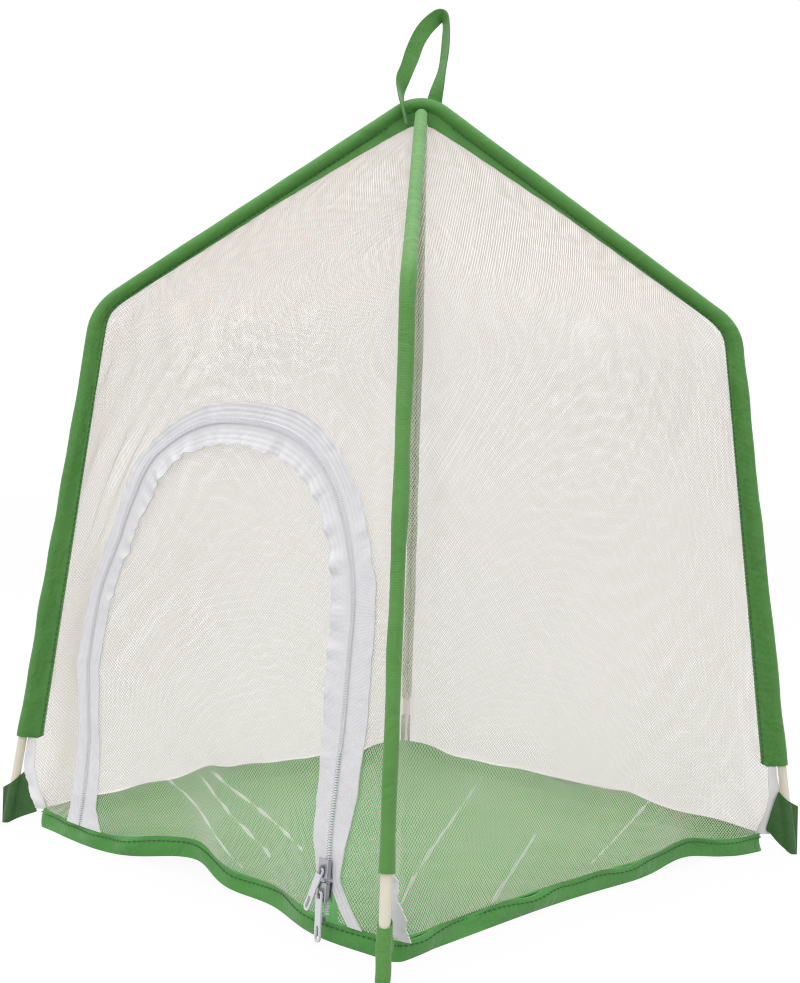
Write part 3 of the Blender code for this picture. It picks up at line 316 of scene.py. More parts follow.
def mix_colours(tree, factor, first, second, blend="MIX"):
    """Two colours, or the sockets that give them, mixed by a factor."""
    return add_node(tree, "ShaderNodeMix", {"Factor": factor, 6: first, 7: second},
                    data_type="RGBA", blend_type=blend).outputs[2]


def tint_and_roughen(tree, shader, noise, shade, light, bump, depth):
    """One noise mixes a shader's colour from two, and roughens its surface."""
    colour = mix_colours(tree, noise.outputs["Fac"], linear(shade), linear(light))
    tree.links.new(colour, shader.inputs["Base Color"])
    rough = add_node(tree, "ShaderNodeBump", {"Height": noise.outputs["Fac"], "Strength": bump,
                                              "Distance": depth})
    tree.links.new(rough.outputs[0], shader.inputs["Normal"])


# %% [markdown]
# ### Woven polyester cloth
# The green cloth is polyester taffeta: plain weave of fine bright yarn. It gives a soft sheen at
# grazing angles, small creases that stay where it was folded, and a slightly patchy dye. The real
# yarns are about 0.2 mm apart, too fine for this picture, so they are drawn 0.7 mm apart.


# %% Cloth finish
YARN_PITCH = 0.0007
CREASE_SIZE = 0.018
DYE_PATCH = 0.05


def cloth_finish(name, shade, light, pitch=YARN_PITCH, roughness=0.62, crease=0.35):
    """Plain weave: two crossed waves for the yarns, noise for creases, slow noise for the dye."""
    mat, tree, shader = new_finish(name, Roughness=roughness, Sheen_Weight=0.25,
                                   Sheen_Roughness=0.4)
    place = add_node(tree, "ShaderNodeTexCoord")
    surface, solid = place.outputs["UV"], place.outputs["Object"]
    scale = wave_scale(pitch)
    warp, weft = (add_node(tree, "ShaderNodeTexWave", {"Vector": surface, "Scale": scale,
                                                       "Distortion": 0.4}, bands_direction=way)
                  for way in ("X", "Y"))
    yarns = add_node(tree, "ShaderNodeMath", {0: warp.outputs["Fac"], 1: weft.outputs["Fac"]},
                     operation="ADD")
    patches = add_node(tree, "ShaderNodeTexNoise", {"Vector": solid, "Scale": 1 / DYE_PATCH,
                                                    "Detail": 2.0})
    creases = add_node(tree, "ShaderNodeTexNoise", {"Vector": solid, "Scale": 1 / CREASE_SIZE,
                                                    "Detail": 3.0, "Distortion": 1.2})
    dye = mix_colours(tree, patches.outputs["Fac"], linear(shade), linear(light))
    # The crossed yarn waves darken the colour between the yarns and lighten it on their crests:
    # painted shade and highlight of the weave.
    weave_shade = add_node(tree, "ShaderNodeMapRange", {"Value": yarns.outputs[0], "From Max": 2.0,
                                                 "To Min": 0.9, "To Max": 1.06})
    tint = add_node(tree, "ShaderNodeCombineColor", {k: weave_shade.outputs[0] for k in (0, 1, 2)})
    colour = mix_colours(tree, 1.0, dye, tint.outputs[0], "MULTIPLY")
    tree.links.new(colour, shader.inputs["Base Color"])
    folds = add_node(tree, "ShaderNodeBump", {"Height": creases.outputs["Fac"],
                                              "Strength": crease, "Distance": 0.004})
    weave = add_node(tree, "ShaderNodeBump", {"Height": yarns.outputs[0], "Strength": 0.35,
                                              "Distance": 0.00015, "Normal": folds.outputs[0]})
    tree.links.new(weave.outputs[0], shader.inputs["Normal"])
    return mat


# The floor is the hem's cloth in a brighter green, for the sheen and the top light on it: painted
# light.
FLOOR_LIT_TAFFETA = cloth_finish("floor_taffeta_painted_light", "46a442", "52b04c")
HEM_TAFFETA = cloth_finish("green_polyester_taffeta", "468f3a", "57a149", crease=0.5)
# The sleeves are one cloth: the over sleeve's copy is darker and the under sleeves' lighter, for how
# the light falls on each: painted shade and painted light.
OVER_SLEEVE_SHADED_TAFFETA = cloth_finish("over_sleeve_taffeta_painted_shade", "438032", "529040", crease=0.55)
UNDER_LIT_TAFFETA = cloth_finish("lit_green_taffeta_painted_light", "4c8638", "5f9a49", crease=0.55)
# The pockets are the same cloth again, darker for the shade they stand in: painted shade.
POCKET_SHADED_TAFFETA = cloth_finish("pocket_taffeta_painted_shade", "2b5523", "3d6e33", crease=0.55)
RIBBON_TAFFETA = cloth_finish("green_polyester_ribbon", "477f37", "5c9a4b", pitch=0.0009)
print("cloth finishes made")

# %% [markdown]
# ### White threads, tapes and coil
# The net is knitted from matt polyester yarn of a warm white, so each thread looks a soft grey
# against a white ground. Where it was creased, its threads get a whiter copy of that colour:
# painted highlight. The seam's binding and the sewing thread are matt fibre too, and the zip's
# tapes are plain weave.


# %% White finishes
def fibre_finish(name, shade, light, patch, roughness, bump):
    """Matt fibre: a noise of one patch size tints it and roughens it."""
    mat, tree, shader = new_finish(name, Roughness=roughness, Sheen_Weight=0.15)
    place = add_node(tree, "ShaderNodeTexCoord")
    noise = add_node(tree, "ShaderNodeTexNoise", {"Vector": place.outputs["Object"],
                                                  "Scale": 1 / patch, "Detail": 3.0})
    tint_and_roughen(tree, shader, noise, shade, light, bump, patch / 10)
    return mat


NET_YARN = fibre_finish("white_knitted_polyester_yarn", "eee7e1", "f3ece6", 0.03, 0.75, 0.1)
SEAM_COTTON = fibre_finish("white_woven_seam_binding", "e9e8eb", "f3f2f4", 0.004, 0.8, 0.3)
GREEN_THREAD = fibre_finish("dark_green_sewing_thread", "24552a", "306432", 0.0012, 0.6, 0.3)
# The same yarn in a whiter copy, for the creases: painted highlight.
NET_FOLD_HIGHLIGHT = fibre_finish("creased_yarn_painted_highlight", "f8f6f4", "fcfbfa", 0.03, 0.75, 0.1)
TAPE_WEAVE = cloth_finish("white_ribbed_zip_tape", "e1e0e3", "e8e7ea", pitch=0.0006,
                          roughness=0.75, crease=0.4)
print("white finishes made")

# %% [markdown]
# ### Plastic and metal
# The pole feet are extruded plastic tube, cream with faint lines along it, and the coil is smooth
# white nylon. The sliders are die cast zinc, tumbled and plated: grey metal with soft edges and
# fine scratches. Their pulls are enamelled.


# %% Hard finishes
GLOSS_SPREAD = 0.08


def hard_finish(name, shade, light, patch, roughness, metallic=0.0, stretch=1.0, bump=0.15):
    """Noise drawn out along Z by stretch tints the colour and varies the gloss."""
    mat, tree, shader = new_finish(name, Metallic=metallic)
    place = add_node(tree, "ShaderNodeTexCoord")
    drawn = add_node(tree, "ShaderNodeMapping", {"Vector": place.outputs["Object"],
                                                 "Scale": (1, 1, 1 / stretch)})
    noise = add_node(tree, "ShaderNodeTexNoise", {"Vector": drawn.outputs[0], "Scale": 1 / patch,
                                                  "Detail": 4.0})
    tint_and_roughen(tree, shader, noise, shade, light, bump, patch / 20)
    gloss = add_node(tree, "ShaderNodeMapRange", {"Value": noise.outputs["Fac"],
                                                  "To Min": roughness - GLOSS_SPREAD,
                                                  "To Max": roughness + GLOSS_SPREAD})
    tree.links.new(gloss.outputs[0], shader.inputs["Roughness"])
    return mat


POLE_TUBE = hard_finish("cream_extruded_plastic", "ddd6c1", "ebe5d4", 0.002, 0.42, stretch=12.0)
ELBOW_PLASTIC = hard_finish("grey_moulded_plastic", "a9a9a4", "b9b9b4", 0.003, 0.5)
COIL_NYLON = hard_finish("white_nylon_coil_yarn", "e3e2e8", "f0eff3", 0.001, 0.35)
SLIDER_ZINC = hard_finish("plated_die_cast_zinc", "a7a8ae", "c2c3c8", 0.0009, 0.34, metallic=1.0)
PULL_ZINC = hard_finish("pale_enamelled_zinc", "d3d4da", "e6e7eb", 0.0012, 0.3)

for number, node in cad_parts.items():
    if number.startswith(("leg_rod", "roof_rod")):
        node.data.materials[0] = POLE_TUBE
    elif number.startswith(("shoulder_elbow", "apex_bend")):
        node.data.materials[0] = ELBOW_PLASTIC
    elif number.startswith(("slider", "zip_stop")):
        node.data.materials[0] = SLIDER_ZINC
    elif number.startswith("pull"):
        node.data.materials[0] = PULL_ZINC
print("hard finishes put on the model's own pieces")

# %% [markdown]
# ## The shape that the net hangs in
# The poles fix four corner seams, and each net wall is stretched between two of them. A wall is
# drawn flat, by x across it and v up along its middle line, and one function bends that flat
# drawing into the room. Net, tapes, coil and stitches all use it, so they lie on each other.

# %% Pole and seam geometry
FLOOR_LOW, FLOOR_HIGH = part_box("floor_hem")
FLOOR_SIDE = FLOOR_HIGH.x - FLOOR_LOW.x
HEM_HEIGHT = FLOOR_HIGH.z
CLEARANCE = 0.0003
ROD_RADIUS = 0.0026
SLEEVE_CLOTH = 0.0007
SLEEVE_BORE = ROD_RADIUS + CLEARANCE
SLEEVE_RADIUS = SLEEVE_BORE + SLEEVE_CLOTH
ARCH_DROP = 2 * SLEEVE_RADIUS + CLEARANCE
FOOT_REACH = FLOOR_SIDE / math.sqrt(2) + 0.0204
SHOULDER_REACH = FOOT_REACH - 0.0445
SHOULDER_HEIGHT = 0.308
APEX_HEIGHT = 0.438
SHOULDER_BEND_RADIUS = 0.032
APEX_BEND_RADIUS = 0.022
SLEEVE_FOOT_HEIGHT = 0.055
LEG_FLANGE_FOOT = 0.0079
LEG_FLANGE_SHOULDER = 0.0021
NET_THICKNESS = 0.0008
SEAM_ROUNDING = 0.004
PANEL_ROUNDING = 0.010
APEX_ROUNDING = 0.006
FLAT_SHARE = 0.88
PROFILE_STEPS = 400
BEND_STEPS = 10
DIAGONAL = math.sqrt(2)


def bend(before, corner, after, radius):
    """The arc that rounds a corner, from tangent point to tangent point."""
    inward, outward = unit(before - corner), unit(after - corner)
    half = math.acos(float(np.clip(inward @ outward, -1, 1))) / 2
    tangent = radius / math.tan(half)
    start, end = corner + inward * tangent, corner + outward * tangent
    centre = corner + unit(inward + outward) * radius / math.sin(half)
    first = math.atan2(*(start - centre)[::-1])
    last = math.atan2(*(end - centre)[::-1])
    sweep = (last - first + math.pi) % math.tau - math.pi
    angles = first + sweep * np.linspace(0, 1, BEND_STEPS + 1)
    return centre + radius * np.stack([np.cos(angles), np.sin(angles)], axis=1)


def half_pole(over, low):
    """Reach and height along half an arch: up the leg from low, round the shoulder, to the top."""
    apex = np.array([0.0, APEX_HEIGHT if over else APEX_HEIGHT - ARCH_DROP])
    foot, shoulder = np.array([FOOT_REACH, 0.0]), np.array([SHOULDER_REACH, SHOULDER_HEIGHT])
    start = foot + (shoulder - foot) * low / SHOULDER_HEIGHT
    top = bend(shoulder, apex, shoulder * (-1, 1), APEX_BEND_RADIUS)
    top = top[top[:, 0] > -1e-6]
    top[-1, 0] = max(top[-1, 0], 0.0)
    return np.vstack([start, bend(foot, shoulder, apex, SHOULDER_BEND_RADIUS), top])


POLE_LEAN = (FOOT_REACH - SHOULDER_REACH) / SHOULDER_HEIGHT
SEAM_SHOULDER = (SHOULDER_REACH - SLEEVE_RADIUS - LEG_FLANGE_SHOULDER,
                 SHOULDER_HEIGHT - SLEEVE_RADIUS - LEG_FLANGE_SHOULDER + CLEARANCE)
SEAM_FOOT = FOOT_REACH - POLE_LEAN * SLEEVE_FOOT_HEIGHT - SLEEVE_RADIUS - LEG_FLANGE_FOOT
FLOOR_CORNER = FLOOR_SIDE / DIAGONAL
UNDER_TOP_HEIGHT = float(half_pole(False, SLEEVE_FOOT_HEIGHT)[-1, 1])
SEAM_TOP = UNDER_TOP_HEIGHT - SLEEVE_RADIUS - CLEARANCE - NET_THICKNESS
ROOF_SHARE = APEX_ROUNDING / SEAM_SHOULDER[0]
SEAM_APEX = (SEAM_TOP - SEAM_SHOULDER[1] * ROOF_SHARE) / (1 - ROOF_SHARE)
ROOF_SLOPE = (SEAM_APEX - SEAM_SHOULDER[1]) / SEAM_SHOULDER[0]
print("seam top", round(SEAM_TOP, 4), "under pole's top", round(UNDER_TOP_HEIGHT, 4))


# %% The surface of a wall
def soft_min(a, b, rounding):
    """The smaller of two lengths, with the change from one to the other rounded."""
    return -rounding * np.logaddexp(-a / rounding, -b / rounding)


# The roof stands this much above the straight line from shoulder to apex, below its top few
# centimetres
ROOF_RISE = 0.0035
ROOF_RISE_REACH = 0.05


def roof_reach(z):
    """How far out the roof's seams lie at a height, rounded off at the apex."""
    raw = (SEAM_APEX + ROOF_RISE * np.clip((SEAM_TOP - z) / ROOF_RISE_REACH, 0, 1) - z) / ROOF_SLOPE
    return np.sqrt(np.maximum(raw**2 - APEX_ROUNDING**2, 0))


# Below the sleeves the loose corner of the net draws in where it meets the floor, and stands out
# towards the bare pole above that, between these heights
FOOT_TUCK = 0.0045
FOOT_TUCK_HEIGHT = 0.026
SEAM_BULGE = 0.005
BULGE_HEIGHTS = [0.014, 0.034, 0.0505, 0.0520]


def seam_reach(z):
    """Half diagonal of the corner seams at a height: up the legs, then in along the roof."""
    heights = [HEM_HEIGHT, SLEEVE_FOOT_HEIGHT, SEAM_SHOULDER[1], SEAM_TOP]
    slope = (SEAM_SHOULDER[0] - SEAM_FOOT) / (SEAM_SHOULDER[1] - SLEEVE_FOOT_HEIGHT)
    top = SEAM_SHOULDER[0] + slope * (SEAM_TOP - SEAM_SHOULDER[1])
    leg = np.interp(z, heights, [FLOOR_CORNER, SEAM_FOOT, SEAM_SHOULDER[0], top])
    tuck = np.clip((FOOT_TUCK_HEIGHT - z) / (FOOT_TUCK_HEIGHT - HEM_HEIGHT), 0, 1) ** 1.5
    bulge = np.interp(z, BULGE_HEIGHTS, [0, 1, 1, 0])
    leg = leg - FOOT_TUCK * tuck + SEAM_BULGE * bulge
    return soft_min(leg, roof_reach(z), SEAM_ROUNDING)


def panel_middle(z):
    """How far out the middle of a wall stands at a height."""
    slope = (SEAM_SHOULDER[0] / DIAGONAL - FLOOR_SIDE / 2) / (SEAM_SHOULDER[1] - HEM_HEIGHT)
    wall = FLOOR_SIDE / 2 + slope * (z - HEM_HEIGHT)
    return soft_min(wall, roof_reach(z) / DIAGONAL, PANEL_ROUNDING)


PROFILE_LOW = HEM_HEIGHT + CLEARANCE
PROFILE_HIGH = SEAM_TOP - APEX_ROUNDING * ROOF_SLOPE / 2
PROFILE_Z = np.linspace(PROFILE_LOW, PROFILE_HIGH, PROFILE_STEPS)
PROFILE_OUT = panel_middle(PROFILE_Z)
PROFILE_V = np.concatenate([[0.0], np.cumsum(np.hypot(np.diff(PROFILE_Z), np.diff(PROFILE_OUT)))])
PANEL_LENGTH = float(PROFILE_V[-1])
SWAY = 0.0006
SWAY_LENGTH = 0.11
PULL_FADE = 0.09
PULL_CORNER_FADE = 0.03
# For each wall: middle of the pull, its spread to the left and right, how far in and how far up
FLOOR_PULLS = (
    ((-0.012, 0.036, 0.026, 0.012, 0.008), (0.050, 0.040, 0.036, 0.012, 0.001),
     (-0.095, 0.035, 0.040, -0.004, 0.0)),
    ((0.000, 0.110, 0.110, 0.009, 0.001), (0.092, 0.030, 0.022, 0.006, 0.004)),
    ((0.000, 0.120, 0.120, 0.002, 0.006), (-0.060, 0.020, 0.012, 0.001, 0.003)),
    ((0.000, 0.120, 0.120, 0.002, 0.006), (0.030, 0.012, 0.020, 0.001, 0.004)),
)
# How far each corner of the floor has crept: from its square place, along x, y and up
CORNER_CREEP = {(-1, -1): (0.002, -0.004, 0.0), (1, -1): (0.0, 0.007, 0.0),
                (1, 1): (0.001, 0.009, 0), (-1, 1): (0.0, 0.0, 0.009)}
CREEP_SPREAD = 0.036
CREEP_HEIGHT = 0.045
DOOR_OFFSET = 0.010
DOOR_HALF_WIDTH = 0.09951
# How far the door wall's cloth has crept left at the zip's left leg, and right at its right leg:
# runs up the wall, and the creep at each. The right leg's stays small where the sliders travel.
LEFT_CREEP = ((0, 0.023, 0.05, 0.07, 0.09, 0.112, 0.128, 0.14,
               0.152, 0.165, 0.178, 0.19, 0.21, 0.23, 0.26, 0.30),
              (0.009, 0.0095, 0.0125, 0.018, 0.0225, 0.0205, 0.018, 0.0147,
               0.0105, 0.0075, 0.0085, 0.0105, 0.0200, 0.0150, 0.0145, 0))
RIGHT_CREEP = ((0.045, 0.09, 0.13, 0.16, 0.19, 0.23), (0, 0.0022, 0.0022, 0.004, 0.004, 0))
# Two bulges over the zip's shoulders: the middle of each, its spread, and its creep right and up
SHOULDER_CREEPS = ((0.072, 0.218, 0.042, 0.0055, 0.0075), (-0.020, 0.236, 0.045, 0.0, 0.0030))
SHOULDER_SEAM_FADE = 0.02
TAPE_WIDTH = 0.0119


def profile(v):
    """Height and reach of a wall's middle line at a run up it."""
    return np.interp(v, PROFILE_V, PROFILE_Z), np.interp(v, PROFILE_V, PROFILE_OUT)


def half_width(v):
    """Half the width of a wall at a run up its middle line."""
    return seam_reach(profile(v)[0]) / DIAGONAL


def run_to(height):
    return float(np.interp(height, PROFILE_Z, PROFILE_V))


def turned(points, quarters):
    """Points turned about Z by quarter turns, from the front wall to another one."""
    spin = np.array(Matrix.Rotation(quarters * math.pi / 2, 3, "Z"))
    return points @ spin.T


def floor_pull(x, quarters):
    """How far the stretched net draws the floor's edge in, and up, at a place along one side: bell
    curves of the distance from each pull's middle, which die away at the corners."""
    inward, up = 0.0, 0.0
    for middle, left, right, far, high in FLOOR_PULLS[quarters]:
        bell = np.exp(-(((x - middle) / np.where(x < middle, left, right)) ** 2))
        inward, up = inward + far * bell, up + high * bell
    calm = np.clip((FLOOR_SIDE / 2 - np.abs(x)) / PULL_CORNER_FADE, 0, 1)
    return inward * calm, up * calm


def corner_creep(points, spread=CREEP_SPREAD):
    """Places moved with the floor's nearest corner: a bell curve of the distance from it, which
    dies away with height."""
    moved = points
    for (sx, sy), creep in CORNER_CREEP.items():
        x, y = points[..., 0] - sx * FLOOR_SIDE / 2, points[..., 1] - sy * FLOOR_SIDE / 2
        away = x**2 + y**2
        bell = np.exp(-away / spread**2) * np.clip(1 - points[..., 2] / CREEP_HEIGHT, 0, 1)
        moved = moved + bell[..., None] * np.array(creep)
    return moved


def door_creep(x, v):
    """Flat places of the door wall's cloth after it has crept along itself: most at the zip's two
    legs, none at the seams, and a bell near each shoulder that dies away at the seam."""
    zip_left, zip_right = DOOR_OFFSET - DOOR_HALF_WIDTH, DOOR_OFFSET + DOOR_HALF_WIDTH
    places = (-FLOOR_SIDE / 2, zip_left - TAPE_WIDTH, zip_left + TAPE_WIDTH, DOOR_OFFSET,
              zip_right - TAPE_WIDTH, zip_right + TAPE_WIDTH, FLOOR_SIDE / 2)
    left = np.interp(x, places, (0, 1, 1, 0.45, 0, 0, 0)) * np.interp(v, *LEFT_CREEP)
    right = np.interp(x, places, (0, 0, 0, 0, 1, 1, 0)) * np.interp(v, *RIGHT_CREEP)
    new_x, new_v = x - left + right, v
    for middle_x, middle_v, spread, far, high in SHOULDER_CREEPS:
        bell = np.exp(-((x - middle_x) ** 2 + (v - middle_v) ** 2) / spread**2)
        bell = bell * np.clip((half_width(v) - np.abs(x)) / SHOULDER_SEAM_FADE, 0, 1)
        new_x, new_v = new_x + far * bell, new_v + high * bell
    return new_x, new_v


def on_wall(x, v, lift=0.0, quarters=0):
    """Places on a wall, raised by lift: the middle line's place, pushed out to meet the corner
    seams near the edges, drawn in with the floor's edge near the foot, plus a slow sway."""
    x, v, lift = np.broadcast_arrays(*(np.asarray(a, float) for a in (x, v, lift)))
    if quarters == 0:
        x, v = door_creep(x, v)
    step = PANEL_LENGTH / PROFILE_STEPS
    low_z, low_out = profile(np.clip(v - step, 0, PANEL_LENGTH))
    high_z, high_out = profile(np.clip(v + step, 0, PANEL_LENGTH))
    rise, run = high_z - low_z, high_out - low_out
    size = np.hypot(rise, run)
    z, middle = profile(v)
    edge = half_width(v)
    flat = edge * FLAT_SHARE
    toward = np.clip((np.abs(x) - flat) / (edge - flat), 0, 1)
    out = middle + (edge - middle) * toward**2
    inward, up = floor_pull(x, quarters)
    near_foot = np.clip(1 - v / PULL_FADE, 0, 1) ** 2
    out, z = out - inward * near_foot, z + up * near_foot
    calm = np.clip(1 - (np.abs(x) / edge) ** 2, 0, 1) * np.sin(np.pi * np.clip(v / PANEL_LENGTH, 0, 1))
    lift = lift + SWAY * calm * crumple(x, v, SWAY_LENGTH, 11 + quarters)
    place = np.stack([x, -(out + lift * rise / size), z - lift * run / size], axis=-1)
    return corner_creep(turned(place, quarters))


print("a wall's middle line is", round(PANEL_LENGTH, 4), "m long")

# %% [markdown]
# ## The zipped door's outline
# The doorway is an arch: two upright sides and a half circle, a little off the middle of the wall.
# A run along the zip, from its right foot over to its left foot, gives a place on it.

# %% Door outline
DOOR_SPRING = run_to(0.139)
SEW_MARGIN = 0.003
ZIP_SLOT = 0.0012
ZIP_RUN = 2 * DOOR_SPRING + math.pi * DOOR_HALF_WIDTH
WALL_HOLE_HALF = DOOR_HALF_WIDTH + TAPE_WIDTH - SEW_MARGIN
DOOR_NET_HALF = DOOR_HALF_WIDTH - TAPE_WIDTH + SEW_MARGIN


def on_arch(run, half):
    """Flat x and v on the arch at a run along the zip and a half width."""
    turn = np.clip((run - DOOR_SPRING) / DOOR_HALF_WIDTH, 0, math.pi)
    foot = np.minimum(np.minimum(run, ZIP_RUN - run), DOOR_SPRING)
    return DOOR_OFFSET + half * np.cos(turn), foot + half * np.sin(turn)


def arch_distance(x, v):
    """How far a flat place lies from the arch's middle: sideways on its legs, else outright."""
    return np.hypot(x - DOOR_OFFSET, np.maximum(v - DOOR_SPRING, 0))


print("the zip is", round(ZIP_RUN, 4), "m long")

# %% [markdown]
# ## Net walls
# Tulle net is knitted, with two sets of yarns that lean either way and meet in small diamonds
# 1.4 mm apart. A see-through picture on a plane would do from far off, but it would not
# throw shadows or move as real net does where it crosses itself. So each yarn is a real thread:
# lines are laid over the flat wall, cut where they leave its outline, and bent into place. A
# crease that stayed from folding is a narrow band of more threads, laid closer over the first.

# %% Net
NET_PITCH = 0.0014
YARN_RADIUS = 0.000135
YARN_GROOVE = 0.08
YARN_LEAN = math.radians(41)
NET_SAMPLE = 0.0005
YARN_STRAY = 0.00005
YARN_DRIFT = 0.0003
TUCK_PITCH = 0.0008
TUCK_HALF = 0.0012
TUCK_WAVER = 0.0005
# A yarn's section: four lobes of twisted fibres with deep grooves between them
lobe_turns = math.tau * (np.arange(8) / 8 + 1 / 4)
lobe_reach = YARN_RADIUS * np.where(np.arange(8) % 2, YARN_GROOVE, 1)
YARN_SECTION = np.stack([np.cos(lobe_turns), np.sin(lobe_turns)], axis=1) * lobe_reach[:, None]
# Heights where a yarn bends most get more of its rings
RING_HEIGHTS = (0, 0.012, 0.03, 0.05, 0.075, 0.10, 0.125, 0.15, 0.21, 0.27, 0.30, 0.315, 0.33, 0.38,
                0.50)
# Creases near the floor where the net was folded, as lines between two flat places
DOOR_TUCKS = (((0.009, 0.043), (0.032, 0.030)), ((0.032, 0.030), (0.059, 0.016)),
              ((-0.028, 0.040), (0.036, 0.004)), ((0.015, 0.050), (0.088, 0.027)))
RIGHT_TUCKS = (((-0.080, 0.0695), (-0.1435, 0.016)), ((0.055, 0.0365), (0.004, 0.006)),
               ((-0.045, 0.030), (-0.075, 0.002)))


def net_lines(inside, high, rings, pitch=NET_PITCH):
    """Flat places of the yarns: parallel lines at the net's pitch, leaning either way and strayed
    a little, are sampled finely, and each stretch that lies inside the outline is one thread."""
    pieces = []
    random = np.random.default_rng(7)
    for lean in (YARN_LEAN, -YARN_LEAN):
        ahead = np.array([math.sin(lean), math.cos(lean)])
        across = np.array([ahead[1], -ahead[0]])
        reach = FLOOR_SIDE / 2 + high
        offsets = np.arange(-reach, reach, pitch)
        offsets = offsets + YARN_STRAY * random.standard_normal(len(offsets))
        offsets = offsets + YARN_DRIFT * crumple(offsets, lean, 0.02, 9)
        run = np.arange(-FLOOR_SIDE, high + FLOOR_SIDE, NET_SAMPLE)
        flat = offsets[:, None, None] * across + run[None, :, None] * ahead
        mask = np.pad(inside(flat[..., 0], flat[..., 1]), ((0, 0), (1, 1))).astype(int)
        change = np.diff(mask, axis=1)
        row, start = np.nonzero(change == 1)
        _, end = np.nonzero(change == -1)
        keep = end - start > 2
        row, a, b = row[keep], run[start[keep]], run[end[keep] - 1]
        low, high_end = (offsets[row] * across[1] + end_run * ahead[1] for end_run in (a, b))
        steps = np.arange(len(RING_HEIGHTS))
        low_step, high_step = (np.interp(v, RING_HEIGHTS, steps) for v in (low, high_end))
        step = low_step[:, None] + (high_step - low_step)[:, None] * np.linspace(0, 1, rings)
        rise = np.interp(step, steps, RING_HEIGHTS) - low[:, None]
        stretch = a[:, None] + (b - a)[:, None] * np.clip(rise / (high_end - low)[:, None], 0, 1)
        pieces.append(offsets[row][:, None, None] * across + stretch[..., None] * ahead)
    return pieces


def near_lines(x, v, lines):
    """True at flat places beside any of the lines, within a tuck's half width, which wavers and
    narrows towards the line's ends."""
    near = np.zeros(x.shape, bool)
    for (ax, av), (bx, bv) in lines:
        share = ((x - ax) * (bx - ax) + (v - av) * (bv - av)) / ((bx - ax) ** 2 + (bv - av) ** 2)
        share = np.clip(share, 0, 1)
        half = TUCK_HALF * (0.55 + 0.25 * np.sin(np.pi * share))
        away = np.hypot(x - ax - share * (bx - ax), v - av - share * (bv - av))
        near |= away + TUCK_WAVER * crumple(x, v, 0.012, 17) < half
    return near


def make_net(name, inside, high, quarters, rings, body="cage", pitch=NET_PITCH, lifts=(1, -1),
             finish=NET_YARN):
    """Threads over an outline; the set that leans right lies a little outside the other."""
    outward = turned(np.array([0.0, -1.0, 0.3]), quarters)
    meshes = []
    for lines, lift in zip(net_lines(inside, high, rings, pitch), lifts):
        bent = on_wall(lines[..., 0], lines[..., 1], lift * YARN_RADIUS, quarters)
        meshes.append(thread_mesh(bent, outward, YARN_SECTION))
    return make_piece(name, *joined(meshes), finish, body=body)


def make_tucks(name, lines, quarters, body):
    """Where the net is creased, more and closer threads lie over the first ones, in a whiter copy of
    the yarn's colour: painted highlight.
    """
    ob = make_net(name, lambda x, v: near_lines(x, v, lines), 0.1, quarters, 3, body, TUCK_PITCH,
                  (3, 5), NET_FOLD_HIGHLIGHT)
    return ob


def in_wall(x, v):
    return (v > 0) & (v < PANEL_LENGTH) & (np.abs(x) < half_width(v))


def in_door_wall(x, v):
    return in_wall(x, v) & (arch_distance(x, v) > WALL_HOLE_HALF - SEW_MARGIN)


def in_door(x, v):
    return (v > 0) & (arch_distance(x, v) < DOOR_NET_HALF + SEW_MARGIN)


for quarters, side in enumerate(("front", "right", "back", "left")):
    outline = in_door_wall if side == "front" else in_wall
    net = make_net(f"net_wall_{side}", outline, PANEL_LENGTH, quarters, 13 if quarters else 11)
    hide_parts(f"wall_net_{side}")

# %% [markdown]
# The door is a flap of the same net. It stays sewn to the floor below its fold, so one sheet
# crosses the fold.

# %% Door net
door = make_net("door_flap_net", in_door, DOOR_SPRING + DOOR_HALF_WIDTH, 0, 15, None)
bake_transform(door)
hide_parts("door_net", "door_sill_net")
make_tucks("right_wall_creases", RIGHT_TUCKS, 1, "cage")
creases = make_tucks("door_flap_creases", DOOR_TUCKS, 0, None)
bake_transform(creases)

# %% [markdown]
# ## Floor and hem
# The floor is a square of taffeta that lies on the table in shallow waves, because it was packed
# folded. A hem band of the same cloth is bound round it, about 10 mm high, and it never runs
# quite straight: it leans in and out and its top edge rises and falls.

# %% Floor cloth
FLOOR_CLOTH = 0.0008
HEM_CLOTH = 0.0012
FLOOR_STEPS = 121
FLOOR_WAVE = 0.0011
FLOOR_CALM = 0.02
FLOOR_PULL_FADE = 0.05
HEM_CORNER = 0.0065
TURN_UP = 0.007
inner = FLOOR_SIDE / 2 - HEM_CLOTH


def drawn_in(points, share):
    """Points of the floor or hem, moved as the net draws each side's edge and with the corners. By
    a point's place before a side that lies in front, share says how much of that edge's draw it
    takes."""
    for quarters in range(4):
        flat = turned(points, -quarters)
        inward, up = floor_pull(flat[..., 0], quarters)
        shift = np.stack([0 * inward, inward, up], axis=-1) * share(flat[..., 1])[..., None]
        points = points + turned(shift, quarters)
    return corner_creep(points)


def rounded(x, y, half, corner):
    """Places of a square whose corners are rounded: each corner's little square becomes a quarter
    disc, by the rule that takes u and w to u root(1 - w w / 2) and w root(1 - u u / 2)."""
    u, w = (np.clip((np.abs(a) - half + corner) / corner, 0, 1) for a in (x, y))
    inside_x, inside_y = (np.minimum(np.abs(a), half - corner) for a in (x, y))
    round_x = inside_x + corner * u * np.sqrt(1 - w**2 / 2)
    round_y = inside_y + corner * w * np.sqrt(1 - u**2 / 2)
    return np.copysign(round_x, x), np.copysign(round_y, y)


